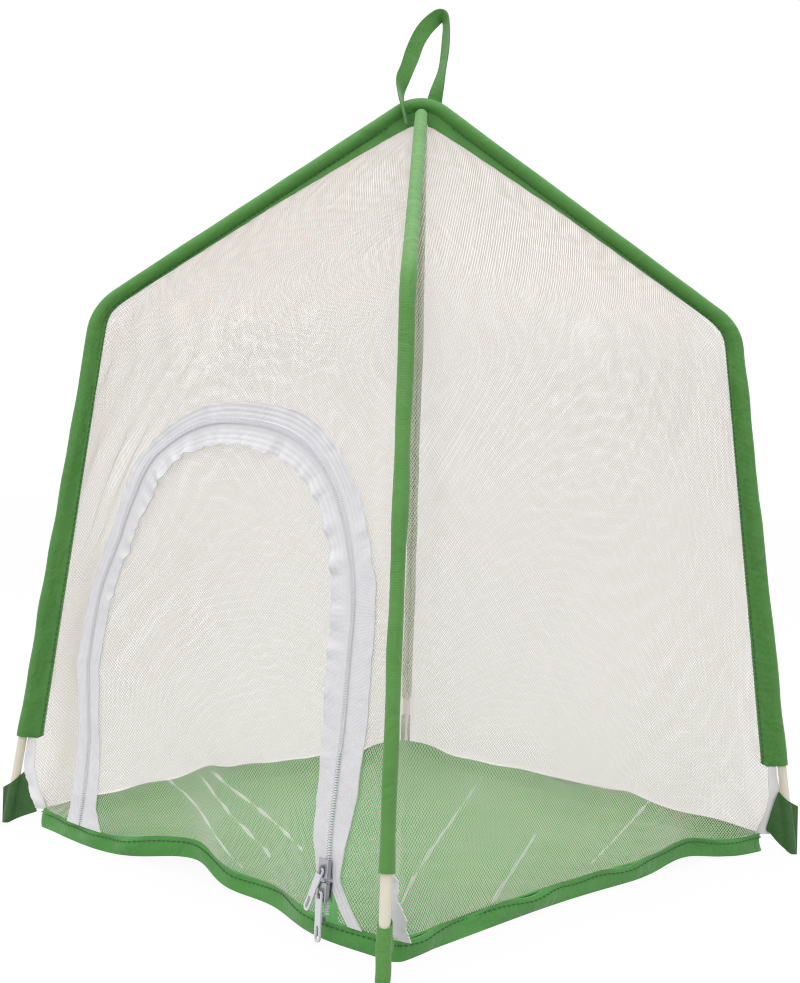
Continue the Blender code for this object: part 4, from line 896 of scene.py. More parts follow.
across = np.linspace(-inner, inner, FLOOR_STEPS)
close = np.linspace(TURN_UP, 0, 8)[1:-1]
across = np.sort(np.concatenate([across, inner - close, close - inner]))
fx, fy = np.meshgrid(across, across, indexing="ij")
from_edge = inner - np.maximum(np.abs(fx), np.abs(fy))
rim = np.clip(from_edge / FLOOR_CALM, 0, 1)
wave = crumple(fx, fy, 0.09, 3) + 0.45 * crumple(fx, fy, 0.035, 4)
fz = np.maximum(FLOOR_CLOTH + FLOOR_WAVE * (1.6 + wave) * rim, FLOOR_CLOTH)
fz = fz + (HEM_HEIGHT - 2 * FLOOR_CLOTH) * np.clip(1 - from_edge / TURN_UP, 0, 1) ** 3
floor_grid = np.stack([*rounded(fx, fy, inner, HEM_CORNER), fz], axis=-1)
floor_grid = drawn_in(floor_grid, lambda y: np.clip(1 - (inner + y) / FLOOR_PULL_FADE, 0, 1) ** 2)
floor_uv = np.stack([fx, fy], axis=-1)
# The floor takes the brighter copy of the taffeta's green: painted light.
floor = cloth_piece("floor_cloth", floor_grid, FLOOR_CLOTH, FLOOR_LIT_TAFFETA, floor_uv)
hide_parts("floor_panel")

# %% Hem band
HEM_STATIONS = 720
HEM_SWAY = 0.0011
HEM_RISE = 0.0008
HEM_BELLY = 0.0003


def square_path(half, corner, count):
    """Places round a square with rounded corners, evenly spaced, and the way out at each."""
    straight, arc = 2 * (half - corner), corner * math.pi / 2
    run = np.linspace(0, 4 * (straight + arc), count, endpoint=False)
    side, rest = np.divmod(run, straight + arc)
    turn = np.clip((rest - straight) / corner, 0, math.pi / 2)
    along = np.minimum(rest, straight) - straight / 2
    x = along + corner * np.sin(turn)
    y = -half + corner * (1 - np.cos(turn))
    spin = side * math.pi / 2
    place = np.stack([x * np.cos(spin) - y * np.sin(spin), x * np.sin(spin) + y * np.cos(spin)], -1)
    heading = spin + turn - math.pi / 2
    return place, np.stack([np.cos(heading), np.sin(heading)], -1), run


hem_place, hem_out, hem_run = square_path(FLOOR_SIDE / 2, HEM_CORNER, HEM_STATIONS)
hem_length = float(hem_run[-1])
loop_u = np.cos(hem_run / hem_length * math.tau) * hem_length / math.tau
loop_v = np.sin(hem_run / hem_length * math.tau) * hem_length / math.tau
hem_lean = HEM_SWAY * crumple(loop_u, loop_v, 0.05, 21)
hem_bulge = HEM_SWAY * crumple(loop_u, loop_v, 0.035, 22)
hem_rise = HEM_RISE * crumple(loop_u, loop_v, 0.045, 23)


def hem_point(up, out):
    """A ring round the floor at a share of the hem's height, pushed out by its lean and bulge, and
    drawn in and up on each side as the floor's edge is."""
    sway = hem_lean * up + hem_bulge * math.sin(math.pi * up)
    ring = hem_place + hem_out * (out + sway)[:, None]
    ring = np.concatenate([ring, (up * (HEM_HEIGHT + hem_rise))[:, None]], axis=1)
    return drawn_in(ring, lambda y: np.clip((-y - FLOOR_SIDE / 2 + 0.02) / 0.01, 0, 1))


HEM_LEVELS = np.linspace(0, 1, 9)
outer_skin = [hem_point(up, HEM_BELLY * math.sin(math.pi * up)) for up in HEM_LEVELS]
inner_skin = [hem_point(up, -HEM_CLOTH) for up in HEM_LEVELS[::-1]]
hem_ring = np.stack([*outer_skin, *inner_skin], axis=1)
rows, columns = hem_ring.shape[:2]
hem_faces = grid_quads(rows + 1, columns, wrap=True) % (rows * columns)
hem_uv = np.stack([np.broadcast_to(hem_run[:, None], (rows, columns)),
                   np.broadcast_to(hem_ring[..., 2], (rows, columns))], -1)
hem = make_piece("hem_band", hem_ring.reshape(-1, 3), hem_faces, HEM_TAFFETA, hem_uv.reshape(-1, 2))
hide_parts("floor_hem")

# %% [markdown]
# ## Stitches
# A lock stitch shows as a row of short thread bumps with small gaps. One stitch is a bar of four
# sides and three lengths, and every seam repeats it.

# %% Stitch rows
STITCH = 0.0026
STITCH_PITCH = 0.0033
STITCH_HALF = 0.00022
stitch_shape, stitch_faces = box_chain(
    [(-STITCH / 2, -STITCH_HALF), (-STITCH / 4, STITCH_HALF), (STITCH / 4, STITCH_HALF),
     (STITCH / 2, -STITCH_HALF)],
    [(STITCH_HALF / 2, STITCH_HALF / 2), (STITCH_HALF, STITCH_HALF),
     (STITCH_HALF, STITCH_HALF), (STITCH_HALF / 2, STITCH_HALF / 2)])


def stitch_row(line, outward):
    """Stitches along a line that lies on the cloth; outward points off the cloth at each point."""
    length = lengths_along(line)
    at = np.arange(STITCH, length[-1] - STITCH, STITCH_PITCH)
    step = STITCH_PITCH / 4
    ahead = unit(read_at(at + step, length, line) - read_at(at - step, length, line))
    place, out = read_at(at, length, line), read_at(at, length, outward)
    out = unit(out - ahead * np.einsum("ij,ij->i", out, ahead)[:, None])
    return repeat_shape(stitch_shape, stitch_faces, place, ahead, out)


HEM_STITCH_LEVEL = 0.78
hem_line = hem_point(HEM_STITCH_LEVEL, STITCH_HALF + HEM_BELLY)
hem_line = np.vstack([hem_line, hem_line[:1]])
hem_normals = np.concatenate([hem_out, np.zeros((HEM_STATIONS, 1))], axis=1)
hem_normals = np.vstack([hem_normals, hem_normals[:1]])
hem_stitches = make_piece("hem_stitches", *stitch_row(hem_line, hem_normals), GREEN_THREAD)

# %% [markdown]
# ## Pole sleeves
# A sleeve is one strip of taffeta folded round the pole and sewn shut along a flange, which also
# catches the edges of the two net walls. It is modelled as its section carried along the pole: a
# round, slightly wrinkled tube, pinched at the seam, with the flange running in to the net. On the
# legs the seam lies along the flange's edge, and on the roof it closes right under a smoother tube.

# %% Sleeve section
SLEEVE_STEP = 0.0022
TUBE_POINTS = 26
FLANGE_HALF = 0.0009
PINCH = 0.00025
FLANGE_WIDTH = 0.0034
FLANGE_FADE = 0.003
FLANGE_WAVE = 0.0005
FLANGE_SLACK = 0.00025
CREASE_DEPTH = 0.00035
CREASE_LIMITS = (-0.0003, 0.0008)
# The roof's way of sewing starts this far below the shoulder's height and is full this far on
ROOF_BLEND_LOW = 0.01
ROOF_BLEND = 0.03
ROOF_SEAM_GAP = 0.0007
ROOF_SHADE_ROW_GAP = 0.0004
ROW_OFFSET = 0.0005
# The stitch rows run up to this height, so they go on over the roof. On the legs they are the flange's
# real seam; on the roof they lie right at the pinch and stand in for the dark line of shade under the
# tube: painted shade.
STITCH_AND_SHADE_LINE_TOP = 0.425


def spread(path, step):
    """The path again, with its points at equal steps."""
    length = lengths_along(path)
    at = np.linspace(0, length[-1], int(length[-1] / step) + 2)
    return read_at(at, length, path), at


def flange_length(place, inward):
    """How far in from the pole the corner seam lies, found by halving the gap 30 times."""
    near = np.full(len(place), SLEEVE_RADIUS)
    far = near + APEX_BEND_RADIUS
    for _ in range(30):
        middle = (near + far) / 2
        at = place + inward * middle[:, None]
        past = (at[:, 1] > SEAM_TOP) | (np.abs(at[:, 0]) > seam_reach(at[:, 1]))
        near, far = np.where(past, middle, near), np.where(past, far, middle)
    return near


def in_corner(points, sx, sy):
    """Reach, across and height into the room, in the upright plane of one corner."""
    reach, across, height = np.moveaxis(points, -1, 0)
    x = (sx * reach + sy * across) / DIAGONAL
    y = (sy * reach - sx * across) / DIAGONAL
    return np.stack([x, y, height], axis=-1)


def make_sleeve(name, path, sx, sy, fade, seed, finish):
    """The section's ring: round the tube, then down one side of the flange and up the other. The
    way in from the pole is towards the middle on a leg, and down on the roof."""
    place, run = spread(path, SLEEVE_STEP)
    ahead = unit(np.gradient(place, axis=0))
    inward = np.stack([ahead[:, 1], -ahead[:, 0]], axis=-1)
    side = np.sign(inward @ np.array([0.0, 1.0]) + inward[:, 0] * place[:, 0] * 1000)
    inward = inward * -side[:, None]
    gap = SLEEVE_RADIUS + CLEARANCE
    tip = gap + (np.maximum(flange_length(place, inward), gap) - gap) * fade(place) + CLEARANCE
    seam = np.maximum(tip - FLANGE_WIDTH, (SLEEVE_RADIUS + tip) / 2)
    roof = np.clip((place[:, 1] - SHOULDER_HEIGHT + ROOF_BLEND_LOW) / ROOF_BLEND, 0, 1)
    seam = seam + (np.minimum(seam, SLEEVE_RADIUS + ROOF_SEAM_GAP) - seam) * roof
    opening = np.arccos(np.clip(SLEEVE_RADIUS / seam, -1, 0.98))[:, None]
    turn = opening + (math.tau - 2 * opening) * np.linspace(0, 1, TUBE_POINTS)
    creases = crumple(run[:, None] * 0.45, SLEEVE_RADIUS * turn * 1.6, 0.02, seed)
    creases = CREASE_DEPTH * (1 - 0.8 * roof[:, None]) * creases
    radius = SLEEVE_RADIUS + np.clip(creases, *CREASE_LIMITS)
    wide, deep = radius * np.sin(turn), radius * np.cos(turn)
    share = np.array([0.33, 0.66, 1.0])
    wave = FLANGE_WAVE * crumple(run, 0, 0.02, seed + 2) * np.clip((tip - gap) / 0.004, 0, 1)
    slack = FLANGE_SLACK * crumple(run, 0, 0.015, seed + 3)[:, None] * np.sin(np.pi * share)
    side_wide = wide[:, -1:] + (-PINCH - wide[:, -1:]) * share + slack
    side_deep = deep[:, -1:] + (seam[:, None] - deep[:, -1:]) * share
    edge_wide = np.stack([-FLANGE_HALF + wave, FLANGE_HALF + wave], axis=1)
    edge_deep = np.stack([tip, tip], axis=1)
    back_wide = -side_wide[:, ::-1] + 2 * slack[:, ::-1]
    wide = np.concatenate([wide, side_wide, edge_wide, back_wide], axis=1)
    deep = np.concatenate([deep, side_deep, edge_deep, side_deep[:, ::-1]], axis=1)

    def ring(across, depth):
        flat = place[:, None, :] + inward[:, None, :] * depth[..., None]
        return in_corner(np.stack([flat[..., 0], across, flat[..., 1]], axis=-1), sx, sy)

    outer = ring(wide, deep)
    bore = np.linspace(0, math.tau, wide.shape[1], endpoint=False) + opening
    inner = ring(SLEEVE_BORE * np.sin(bore), SLEEVE_BORE * np.cos(bore))
    around = np.concatenate([np.zeros((len(place), 1)),
                             np.cumsum(np.linalg.norm(np.diff(outer, axis=1), axis=2), axis=1)], 1)
    uv = np.stack([around, np.broadcast_to(run[:, None], around.shape)], axis=-1)
    ob = tube_piece(name, outer, inner, finish, uv)
    # On the roof the row lies right at the pinch, a dark line of thread that stands in for shade:
    # painted shade.
    low = place[:, 1] < STITCH_AND_SHADE_LINE_TOP
    row = seam + ((tip - seam) / 2 + ROW_OFFSET) * (1 - roof) + ROOF_SHADE_ROW_GAP * roof
    part = (row - seam) / (tip - seam)
    cloth = PINCH + (FLANGE_HALF - PINCH) * part + STITCH_HALF
    rows = ring(np.stack([wave * part - cloth, wave * part + cloth], 1), np.stack([row, row], 1))
    across = unit(outer[:, TUBE_POINTS + 4] - outer[:, TUBE_POINTS + 3])
    legs = [leg for leg in (low & (place[:, 0] > 0), low & (place[:, 0] < 0)) if leg.any()]
    return ob, [stitch_row(rows[leg, side], (2 * side - 1) * across[leg])
                for leg in legs for side in (0, 1)]


def no_fade(place):
    return np.ones(len(place))


def top_fade(place):
    """The over sleeve's flange dies away where it crosses the other pole."""
    return np.clip((np.abs(place[:, 0]) - SLEEVE_RADIUS - 2 * CLEARANCE) / FLANGE_FADE, 0, 1)


# %% Three sleeves
OVER_FOOT = 0.052
FRONT_FOOT = 0.046
over = half_pole(True, OVER_FOOT)
over_path = np.vstack([over, (over * (-1, 1))[::-1][1:]])
# The over sleeve takes the darker copy of the taffeta's green: painted shade.
sleeve, rows = make_sleeve("pole_sleeve_over", over_path, -1, -1, top_fade, 31, OVER_SLEEVE_SHADED_TAFFETA)
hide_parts("sleeve_over")
stitches = make_piece("pole_sleeve_over_stitches", *joined(rows), GREEN_THREAD)
UNDER_TOP = 0.0015
# The under sleeves take the lighter copy of the taffeta's green: painted light.
for corner, sx, sy in (("front_right", 1, -1), ("back_left", -1, 1)):
    under = half_pole(False, FRONT_FOOT)
    under = under[under[:, 0] > UNDER_TOP]
    sleeve, rows = make_sleeve(f"pole_sleeve_{corner}", under, sx, sy, no_fade, 41 + sx,
                               UNDER_LIT_TAFFETA)
    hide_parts(f"sleeve_{corner}")
    stitches = make_piece(f"pole_sleeve_{corner}_stitches", *joined(rows), GREEN_THREAD)

# %% [markdown]
# ## Zip tapes
# Each half of the zip has its own woven tape. The tape is straight when it is made, so when it is
# sewn round an arch its outer edge is stretched and its inner edge has cloth to spare, which
# stands up in small ruffles.

# %% Zip tapes
TAPE_CLOTH = 0.0005
TAPE_LIFT = NET_THICKNESS / 2 + CLEARANCE + TAPE_CLOTH / 2
TAPE_ACROSS = 25
TAPE_STEP = 0.0011
RIB_HEIGHT = 0.00012
RIB_PITCH = 0.0027
TAPE_SAG = 0.0004
# At runs from the right foot over the arch to the left foot: how far each tape's free edge stands
# beyond its width, and how far the outer tape's loose right foot turns aside
EDGE_RUNS = np.array([0, 0.012, 0.022, 0.035, 0.06, 0.09, 0.13, 0.17, 0.30, 0.36, 0.44, 0.48, 0.52,
                      0.56, ZIP_RUN])
OUTER_EDGE = np.array([-3, -3, -3.5, -1, 4, 5, 4.5, 2.5, -3, -4, -3, -1, -1, 0, 2]) * 0.001
INNER_EDGE = np.array([-10.5, -10, -3, 0, 0, 1.5, 2, 0.5, 1, 2, 3, 0, 0, 2, 8]) * 0.001
FOOT_TURN = 0.013
FOOT_LENGTH = 0.020


def tape_grid(near, far, edge, ruffle, seed):
    """The tape between two half widths: run along the zip, share across it. Its free edge is
    gathered: it wavers, and lifts in ruffles that grow with the share."""
    run = np.linspace(0, ZIP_RUN, int(ZIP_RUN / TAPE_STEP))[:, None]
    share = np.linspace(0, 1, TAPE_ACROSS)[None, :]
    turning = np.sin(np.pi * np.clip((run - DOOR_SPRING / 2) / (ZIP_RUN - DOOR_SPRING * 1.2), 0, 1))
    puff = crumple(run, 0, 0.014, seed) * 0.7 + 0.25 * crumple(run, 0, 0.009, seed + 1)
    waver = ruffle * (0.2 + 0.8 * turning) * (0.25 * crumple(run, 0, 0.014, seed + 2)
                                              + 0.15 * crumple(run, 0, 0.007, seed + 4))
    extra = np.interp(run, EDGE_RUNS, edge) + waver
    half = near + (far - near) * share + math.copysign(1, far - near) * extra * share
    x, v = on_arch(run, half)
    x = x + FOOT_TURN * np.clip(1 - run / FOOT_LENGTH, 0, 1) ** 1.3 * (far > near)
    ribs = RIB_HEIGHT * np.cos(math.tau * (half - near) / RIB_PITCH)
    rise = ruffle * (0.12 + 0.88 * turning) * share**1.5 * (1 + puff)
    sag = TAPE_SAG * share * (1 + crumple(run, 0, 0.04, seed + 3)) * (1 - turning)
    grid = on_wall(x, np.maximum(v, 0), TAPE_LIFT + ribs + np.maximum(rise, 0) + sag)
    return grid, np.stack(np.broadcast_arrays(half, run), axis=-1)


outer_grid, outer_uv = tape_grid(DOOR_HALF_WIDTH + ZIP_SLOT / 2, DOOR_HALF_WIDTH + TAPE_WIDTH,
                                 OUTER_EDGE, 0.0008, 51)
tape = cloth_piece("outer_zip_tape", outer_grid, TAPE_CLOTH, TAPE_WEAVE, outer_uv)
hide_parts("zip_tape_outer")
inner_grid, inner_uv = tape_grid(DOOR_HALF_WIDTH - ZIP_SLOT / 2, DOOR_HALF_WIDTH - TAPE_WIDTH,
                                 INNER_EDGE, 0.0018, 61)
tape = cloth_piece("inner_zip_tape", inner_grid, TAPE_CLOTH, TAPE_WEAVE, inner_uv, body=None)
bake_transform(tape)
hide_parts("zip_tape_inner", "zip_tape_foot_left", "zip_tape_foot_right")

# %% [markdown]
# ## Zip coil
# The teeth are turns of one nylon thread, sewn on along each tape's edge. One turn is a short bar
# that humps over from the tape's edge to its seam.

# %% Zip coil
COIL_PITCH = 0.0012
COIL_WIDTH = 0.0016
COIL_HEIGHT = 0.0014
COIL_YARN = 0.00030
COIL_FOOT = 0.003
coil_shape, coil_faces = box_chain(
    [(-COIL_WIDTH / 2, -COIL_HEIGHT / 4), (-COIL_WIDTH / 2.2, COIL_HEIGHT / 4),
     (0, COIL_HEIGHT / 2.4), (COIL_WIDTH / 2.2, COIL_HEIGHT / 4), (COIL_WIDTH / 2, -COIL_HEIGHT / 4)],
    [(COIL_YARN, COIL_YARN)] * 5)


def make_coil(name, half, shift, body):
    """One turn across the tape at each pitch along the zip."""
    run = np.arange(COIL_FOOT + shift, ZIP_RUN - COIL_FOOT, COIL_PITCH)
    lift = TAPE_LIFT + TAPE_CLOTH / 2 + COIL_HEIGHT / 2
    place = on_wall(*on_arch(run, half), lift)
    wide = on_wall(*on_arch(run, half + COIL_WIDTH), lift)
    raised = on_wall(*on_arch(run, half), lift + COIL_WIDTH)
    points, faces = repeat_shape(coil_shape, coil_faces, place, unit(wide - place),
                                 unit(raised - place))
    return make_piece(name, points, faces, COIL_NYLON, body=body)


coil = make_coil("outer_zip_coil", DOOR_HALF_WIDTH + COIL_WIDTH / 2, 0.0, "cage")
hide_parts("zip_coil_outer")
coil = make_coil("inner_zip_coil", DOOR_HALF_WIDTH - COIL_WIDTH / 2, COIL_PITCH / 2, None)
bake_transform(coil)
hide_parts("zip_coil_inner", "zip_coil_foot_left", "zip_coil_foot_right")

# %% [markdown]
# ## Corner pockets
# Each pole foot stands in a pouch of two layers of taffeta, sewn to the floor's corner. From the
# side it is a kite with a pointed top, and the pole pushes its two layers apart.

# %% Corner pockets
POCKET_WIDTH = 0.0125
POCKET_CLOTH = 0.0005
POCKET_CREASE = 0.00025
POCKET_SEWN = 0.0003
# For each corner: heights of the top edge at the seam and at the outer side, how far that side
# leans in, and the height of the sewn corner
POCKET_SHAPES = {"front_right": (0.0290, 0.0240, 0.0034, 0.0112),
                 "front_left": (0.0305, 0.0208, 0, 0.0078),
                 "back_right": (0.0360, 0.0280, 0.0005, 0.0122),
                 "back_left": (0.0340, 0.0255, 0, 0.0112)}
POCKET_TOE = 0.0034
POCKET_SEAM_REACH = 0.0012
POCKET_CREEP = 0.009
POCKET_RISE = 24
POCKET_ACROSS = 27


def pocket_grid(rise, share, tip, outer, lean, sewn_height):
    """Reach and height inside the kite: bottom and top edge, mixed by the rise."""
    toe = FOOT_REACH + POCKET_TOE
    foot = (FLOOR_CORNER + POCKET_SEAM_REACH, sewn_height)
    top = (toe - POCKET_WIDTH, tip)
    low_reach = foot[0] + (toe - foot[0]) * share
    low_height = foot[1] * np.clip(1 - share / 0.8, 0, 1) + 0.0006 * np.sin(np.pi * share)
    high_reach = top[0] + (toe - lean - top[0]) * share
    high_height = top[1] + (outer - top[1]) * share - 0.0008 * np.sin(np.pi * share)
    return (low_reach + (high_reach - low_reach) * rise,
            low_height + (high_height - low_height) * rise)


def make_pocket(corner, sx, sy, seed):
    """Each level is a ring: out along one layer and back along the other. The layers stand apart
    by the round of the pole, and meet at the sewn edges."""
    rise = np.linspace(0, 1, POCKET_RISE)[:, None]
    there = np.sin(np.linspace(0, math.pi / 2, POCKET_ACROSS))
    share = np.concatenate([there, there[::-1][1:-1]])[None, :]
    front = np.concatenate([np.ones(POCKET_ACROSS), -np.ones(POCKET_ACROSS - 2)])[None, :]
    reach, height = pocket_grid(rise, share, *POCKET_SHAPES[corner])
    away = reach - (FOOT_REACH - POLE_LEAN * height)
    radius = ROD_RADIUS + CLEARANCE + POCKET_CLOTH
    tube = np.sqrt(np.maximum(radius**2 - away**2, 0))
    from_side = np.minimum(share, 1 - share)
    sewn = POCKET_CLOTH * np.clip(8 * from_side, 0, 1) + POCKET_SEWN
    half = np.maximum(tube, sewn) * np.sqrt(np.clip(0.8 + 3 * rise, 0, 1))
    folds = POCKET_CREASE * crumple(reach, height, 0.012, seed) * np.clip(6 * from_side, 0, 1)

    def skin(reach, half, height):
        flat = np.stack(np.broadcast_arrays(reach, front * half + folds, height), -1)
        return corner_creep(in_corner(flat, sx, sy), POCKET_CREEP)

    hollow = np.maximum(half - POCKET_CLOTH, 0.0001)
    inset = reach + (reach.mean(axis=1, keepdims=True) - reach) * 0.02
    level = height + 0.0012 * (1 - rise)
    uv = np.stack([reach, height], axis=-1)
    # The front right pocket takes the lighter copy of the taffeta's green and the others the darker
    # pocket copy: painted light and painted shade.
    finish = UNDER_LIT_TAFFETA if corner == "front_right" else POCKET_SHADED_TAFFETA
    ob = tube_piece(f"pole_pocket_{corner}", skin(reach, half, height), skin(inset, hollow, level),
                    finish, uv)
    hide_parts(f"corner_pocket_{corner}")


CORNERS = {"front_left": (-1, -1), "front_right": (1, -1), "back_right": (1, 1), "back_left": (-1, 1)}
for number, (corner, (sx, sy)) in enumerate(CORNERS.items()):
    make_pocket(corner, sx, sy, 71 + number)

# %% [markdown]
# ## Corner strips
# Below each sleeve the seam of two net walls is bound in a strip of white woven tape that runs
# down to the floor's corner.

# %% Corner strips
STRIP_CLOTH = 0.0006
STRIP_FRAY = 0.0002
STRIP_CURL = 0.0009
STRIP_TOP_GAP = 0.0010
STRIP_SEAM_LAP = 0.0006
STRIP_STEPS = 90
# For each corner: how far the strip turns out of the corner's plane, its width at top and foot
STRIPS = {"front_left": (5, 0.0064, 0.0076), "front_right": (-68, 0.0032, 0.0092),
          "back_right": (-8, 0.0080, 0.0088), "back_left": (12, 0.0060, 0.0060)}


def make_strip(corner, sx, sy, seed):
    """From the sleeve's foot down to the floor: run down it, share out from the net's seam, turned
    about that seam, with a frayed free edge."""
    degrees, wide_top, wide_foot = STRIPS[corner]
    down = np.linspace(0, 1, STRIP_STEPS)[:, None]
    share = np.linspace(0, 1, 9)[None, :]
    top = (OVER_FOOT if sx == sy else FRONT_FOOT) - STRIP_TOP_GAP
    height = top - (top - HEM_HEIGHT + 0.0005) * down
    fray = STRIP_FRAY * crumple(height, 0, 0.0021, seed + 1)
    fray = fray + STRIP_FRAY * crumple(height, 0, 0.009, seed)
    width = wide_top + (wide_foot - wide_top) * down**1.5 + fray
    turn = math.radians(degrees) * np.clip(down / 0.15, 0.15, 1)
    curl = STRIP_CURL * crumple(height, share * 0.01, 0.02, seed) * share
    pole = FOOT_REACH - POLE_LEAN * height - SLEEVE_RADIUS
    reach = seam_reach(height) - STRIP_SEAM_LAP + width * share * np.cos(turn)
    reach = np.minimum(reach, np.where(abs(degrees) < 30, pole, 1))
    across = width * share * np.sin(turn) + curl
    grid = in_corner(np.stack(np.broadcast_arrays(reach, across, height), axis=-1), sx, sy)
    grid = corner_creep(grid)
    uv = np.stack(np.broadcast_arrays(width * share, height), axis=-1)
    ob = cloth_piece(f"seam_strip_{corner}", grid, STRIP_CLOTH, SEAM_COTTON, uv)
    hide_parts(f"corner_tape_{corner}")


for number, (corner, (sx, sy)) in enumerate(CORNERS.items()):
    make_strip(corner, sx, sy, 81 + number)

# %% [markdown]
# ## Hanging loop
# The loop is one length of ribbon. Both ends are sewn down over the upper sleeve, one at its
# front and one at its back, and between them the ribbon twists and folds over at the top.

# %% Hanging loop
RIBBON_WIDTH = 0.0090
RIBBON_CLOTH = 0.0007
RIBBON_WAVER = 0.0003
RIBBON_CUP = 0.0009
LOOP_STEPS = 220
LOOP_PASSES = 2
POLE_TOP = float(over[-1, 1])
SEAT = SLEEVE_RADIUS + CLEARANCE + RIBBON_CLOTH
# Stations of the ribbon's middle line from its front end, up, over and down to its back end: place
# along the upper pole, to the front of it and above the pole's top, and the turn of its width from
# edge-on to flat-on. Its front end lies down the sleeve's front, its back end down the back.
RIBBON_PATH = np.array([
    (-0.0085, SEAT, -0.0130, 12), (-0.0100, SEAT, -0.0060, 12), (-0.0118, SEAT, 0.0000, 14),
    (-0.0126, SEAT * 0.8, 0.0045, 18), (-0.0129, 0.0022, 0.0090, 34), (-0.0117, 0.0010, 0.0150, 58),
    (-0.0094, 0.0, 0.0205, 74), (-0.0074, 0.0, 0.0265, 80), (-0.0056, 0.0, 0.0325, 82),
    (-0.0030, 0.0, 0.0390, 80), (0.0008, 0.0, 0.0450, 76), (0.0058, 0.0, 0.0500, 62),
    (0.0095, 0.0, 0.0530, 40), (0.0118, 0.0, 0.0523, 26), (0.0128, 0.0, 0.0480, 20),
    (0.0130, 0.0, 0.0420, 26), (0.0129, 0.0, 0.0340, 30), (0.0122, 0.0, 0.0270, 28),
    (0.0112, 0.0, 0.0200, 30), (0.0098, -0.0006, 0.0130, 44), (0.0084, -0.0020, 0.0075, 62),
    (0.0074, -SEAT * 0.8, 0.0035, 74), (0.0068, -SEAT, -0.0010, 78), (0.0062, -SEAT, -0.0050, 78)])


def smooth_path(stations, count, passes):
    """Evenly spaced places along straight runs between stations, then rounded: each place becomes
    the mean of itself and its neighbours, a few times over."""
    length = lengths_along(stations[:, :3])
    path = read_at(np.linspace(0, length[-1], count), length, stations)
    kernel = np.hanning(count // 30 * 2 + 1)
    for _ in range(passes):
        padded = np.pad(path, ((len(kernel) // 2,) * 2, (0, 0)), mode="reflect", reflect_type="odd")
        path = np.stack([np.convolve(c, kernel / kernel.sum(), "valid") for c in padded.T], axis=-1)
    return path


def make_loop():
    """The ribbon's middle line with the direction of its width at each place: a turn about the
    line from the view along the pole towards its own plane."""
    path = smooth_path(RIBBON_PATH, LOOP_STEPS, LOOP_PASSES)
    line = path[:, :3] + np.array([0, 0, POLE_TOP])
    ahead = unit(np.gradient(line, axis=0))
    turn = np.radians(path[:, 3])[:, None]
    front = unit(np.array([0.0, 1.0, 0.0]) - ahead * ahead[:, 1:2])
    broad = np.cos(turn) * front + np.sin(turn) * np.cross(ahead, front)
    run = lengths_along(line)
    share = np.linspace(-0.5, 0.5, 9)
    width = RIBBON_WIDTH + RIBBON_WAVER * crumple(run, 0, 0.012, 91)
    cup = RIBBON_CUP * (share[None, :] ** 2 - 0.1) * (1 + crumple(run, 0, 0.02, 92))[:, None]
    grid = line[:, None, :] + broad[:, None, :] * (share[None, :] * width[:, None])[..., None]
    grid = grid + np.cross(broad, ahead)[:, None, :] * cup[..., None]
    along_arch, front = np.array([1, 1, 0]) / DIAGONAL, np.array([1, -1, 0]) / DIAGONAL
    room = grid[..., :1] * along_arch + grid[..., 1:2] * front
    room = room + grid[..., 2:] * np.array([0, 0, 1.0])
    uv = np.stack(np.broadcast_arrays(share[None, :] * RIBBON_WIDTH, run[:, None]), axis=-1)
    ob = cloth_piece("ribbon_loop", room, RIBBON_CLOTH, RIBBON_TAFFETA, uv, body=None)
    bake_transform(ob)
    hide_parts("hanging_loop", "loop_end_front", "loop_end_back")
    print("ribbon of", round(float(run[-1]), 4), "m")


make_loop()

# %% [markdown]
# ## Studio
# The photograph has a pure white ground. A floor and a world that show white to the camera give
# that without adding light, and the floor keeps part of its own shading so that the cage's shadow
# stays. The light itself is a plain even sky with two large soft lamps, one in front and one above.

# %% Studio
SKY_STRENGTH = 0.94
KEY_POWER = 6.0
TOP_POWER = 10.0
TOP_SIZE = 0.9
KEY_SIZE = 1.2
TABLE_REACH = 6.0
TABLE_GLOW = 0.94
LAMP_TARGET = (0, 0, 0.2)


def seen_directly(tree):
    """1 for rays from the camera, from gloss or through glass, else 0."""
    path = add_node(tree, "ShaderNodeLightPath")
    some = add_node(tree, "ShaderNodeMath", {0: path.outputs["Is Camera Ray"],
                                             1: path.outputs["Is Glossy Ray"]}, operation="MAXIMUM")
    return add_node(tree, "ShaderNodeMath", {0: some.outputs[0],
                                             1: path.outputs["Is Transmission Ray"]},
                    operation="MAXIMUM").outputs[0]


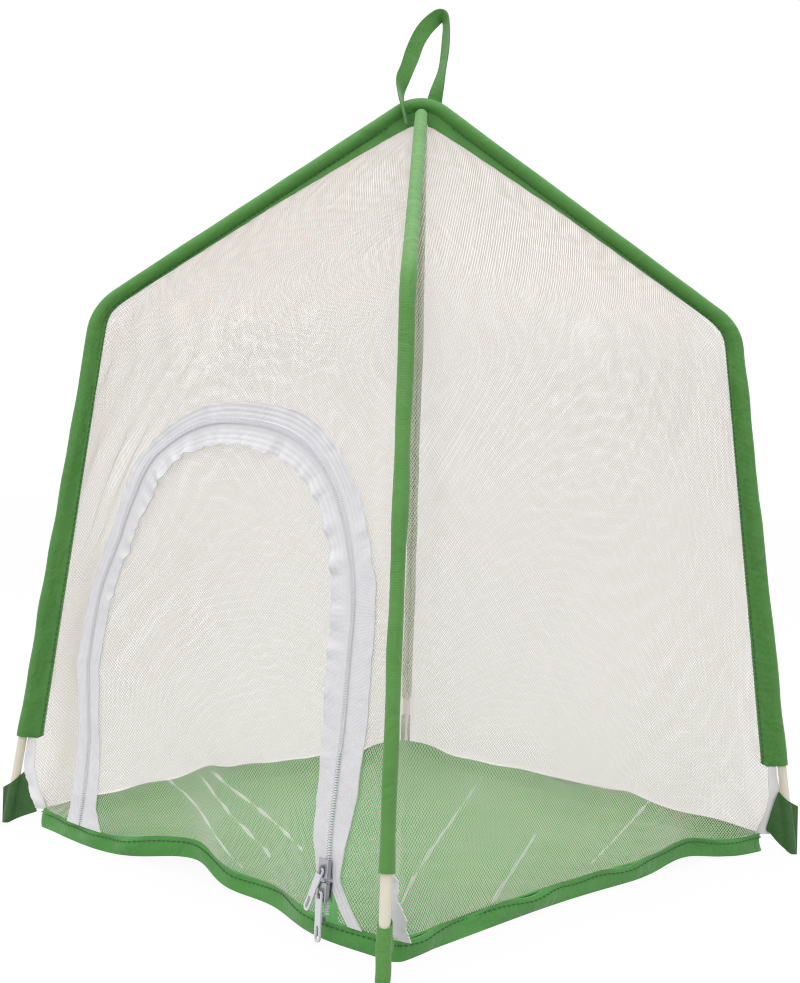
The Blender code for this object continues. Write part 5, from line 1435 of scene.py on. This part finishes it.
def make_world():
    world = bpy.data.worlds.new("studio")
    world.use_nodes = True
    tree = world.node_tree
    light = tree.nodes["Background"]
    light.inputs["Color"].default_value = linear("ffffff")
    light.inputs["Strength"].default_value = SKY_STRENGTH
    white = add_node(tree, "ShaderNodeBackground", {"Color": linear("ffffff"), "Strength": 1.0})
    mix = add_node(tree, "ShaderNodeMixShader", {0: seen_directly(tree), 1: light.outputs[0],
                                                 2: white.outputs[0]})
    tree.links.new(mix.outputs[0], tree.nodes["World Output"].inputs["Surface"])
    bpy.context.scene.world = world


def make_table():
    """A wide pale floor, mostly white to the camera, and greyer in the light that it gives back."""
    corners = np.array([(-1, -1, 0), (1, -1, 0), (1, 1, 0), (-1, 1, 0)]) * TABLE_REACH
    mat, tree, shader = new_finish("white_studio_paper", Roughness=0.9)
    paper = mix_colours(tree, seen_directly(tree), linear("b0b0b0"), linear("ededed"))
    tree.links.new(paper, shader.inputs["Base Color"])
    glow = add_node(tree, "ShaderNodeEmission", {"Color": linear("ffffff"), "Strength": 1.0})
    share = add_node(tree, "ShaderNodeMath", {0: seen_directly(tree), 1: TABLE_GLOW},
                     operation="MULTIPLY")
    mix = add_node(tree, "ShaderNodeMixShader", {0: share.outputs[0], 1: shader.outputs[0],
                                                 2: glow.outputs[0]})
    tree.links.new(mix.outputs[0], tree.nodes["Material Output"].inputs["Surface"])
    mesh = bpy.data.meshes.new("studio_floor")
    mesh.from_pydata(corners.tolist(), [], [(0, 1, 2, 3)])
    mesh.materials.append(mat)
    ob = add_object("studio_floor", mesh)


def make_lamp(name, place, power, size):
    """A square lamp at a place, turned to face the cage."""
    data = bpy.data.lights.new(name, "AREA")
    data.energy = power
    data.size = size
    ob = add_object(name, data)
    ob.location = place
    ob.rotation_euler = (Vector(LAMP_TARGET) - Vector(place)).to_track_quat("-Z", "Y").to_euler()


make_world()
make_table()
make_lamp("key_lamp", (0.3, -1.3, 1.3), KEY_POWER, KEY_SIZE)
make_lamp("top_lamp", (0.1, -0.1, 1.7), TOP_POWER, TOP_SIZE)
bpy.context.scene.view_settings.view_transform = "Standard"
bpy.context.scene.cycles.filter_width = 1.1
print("studio made")
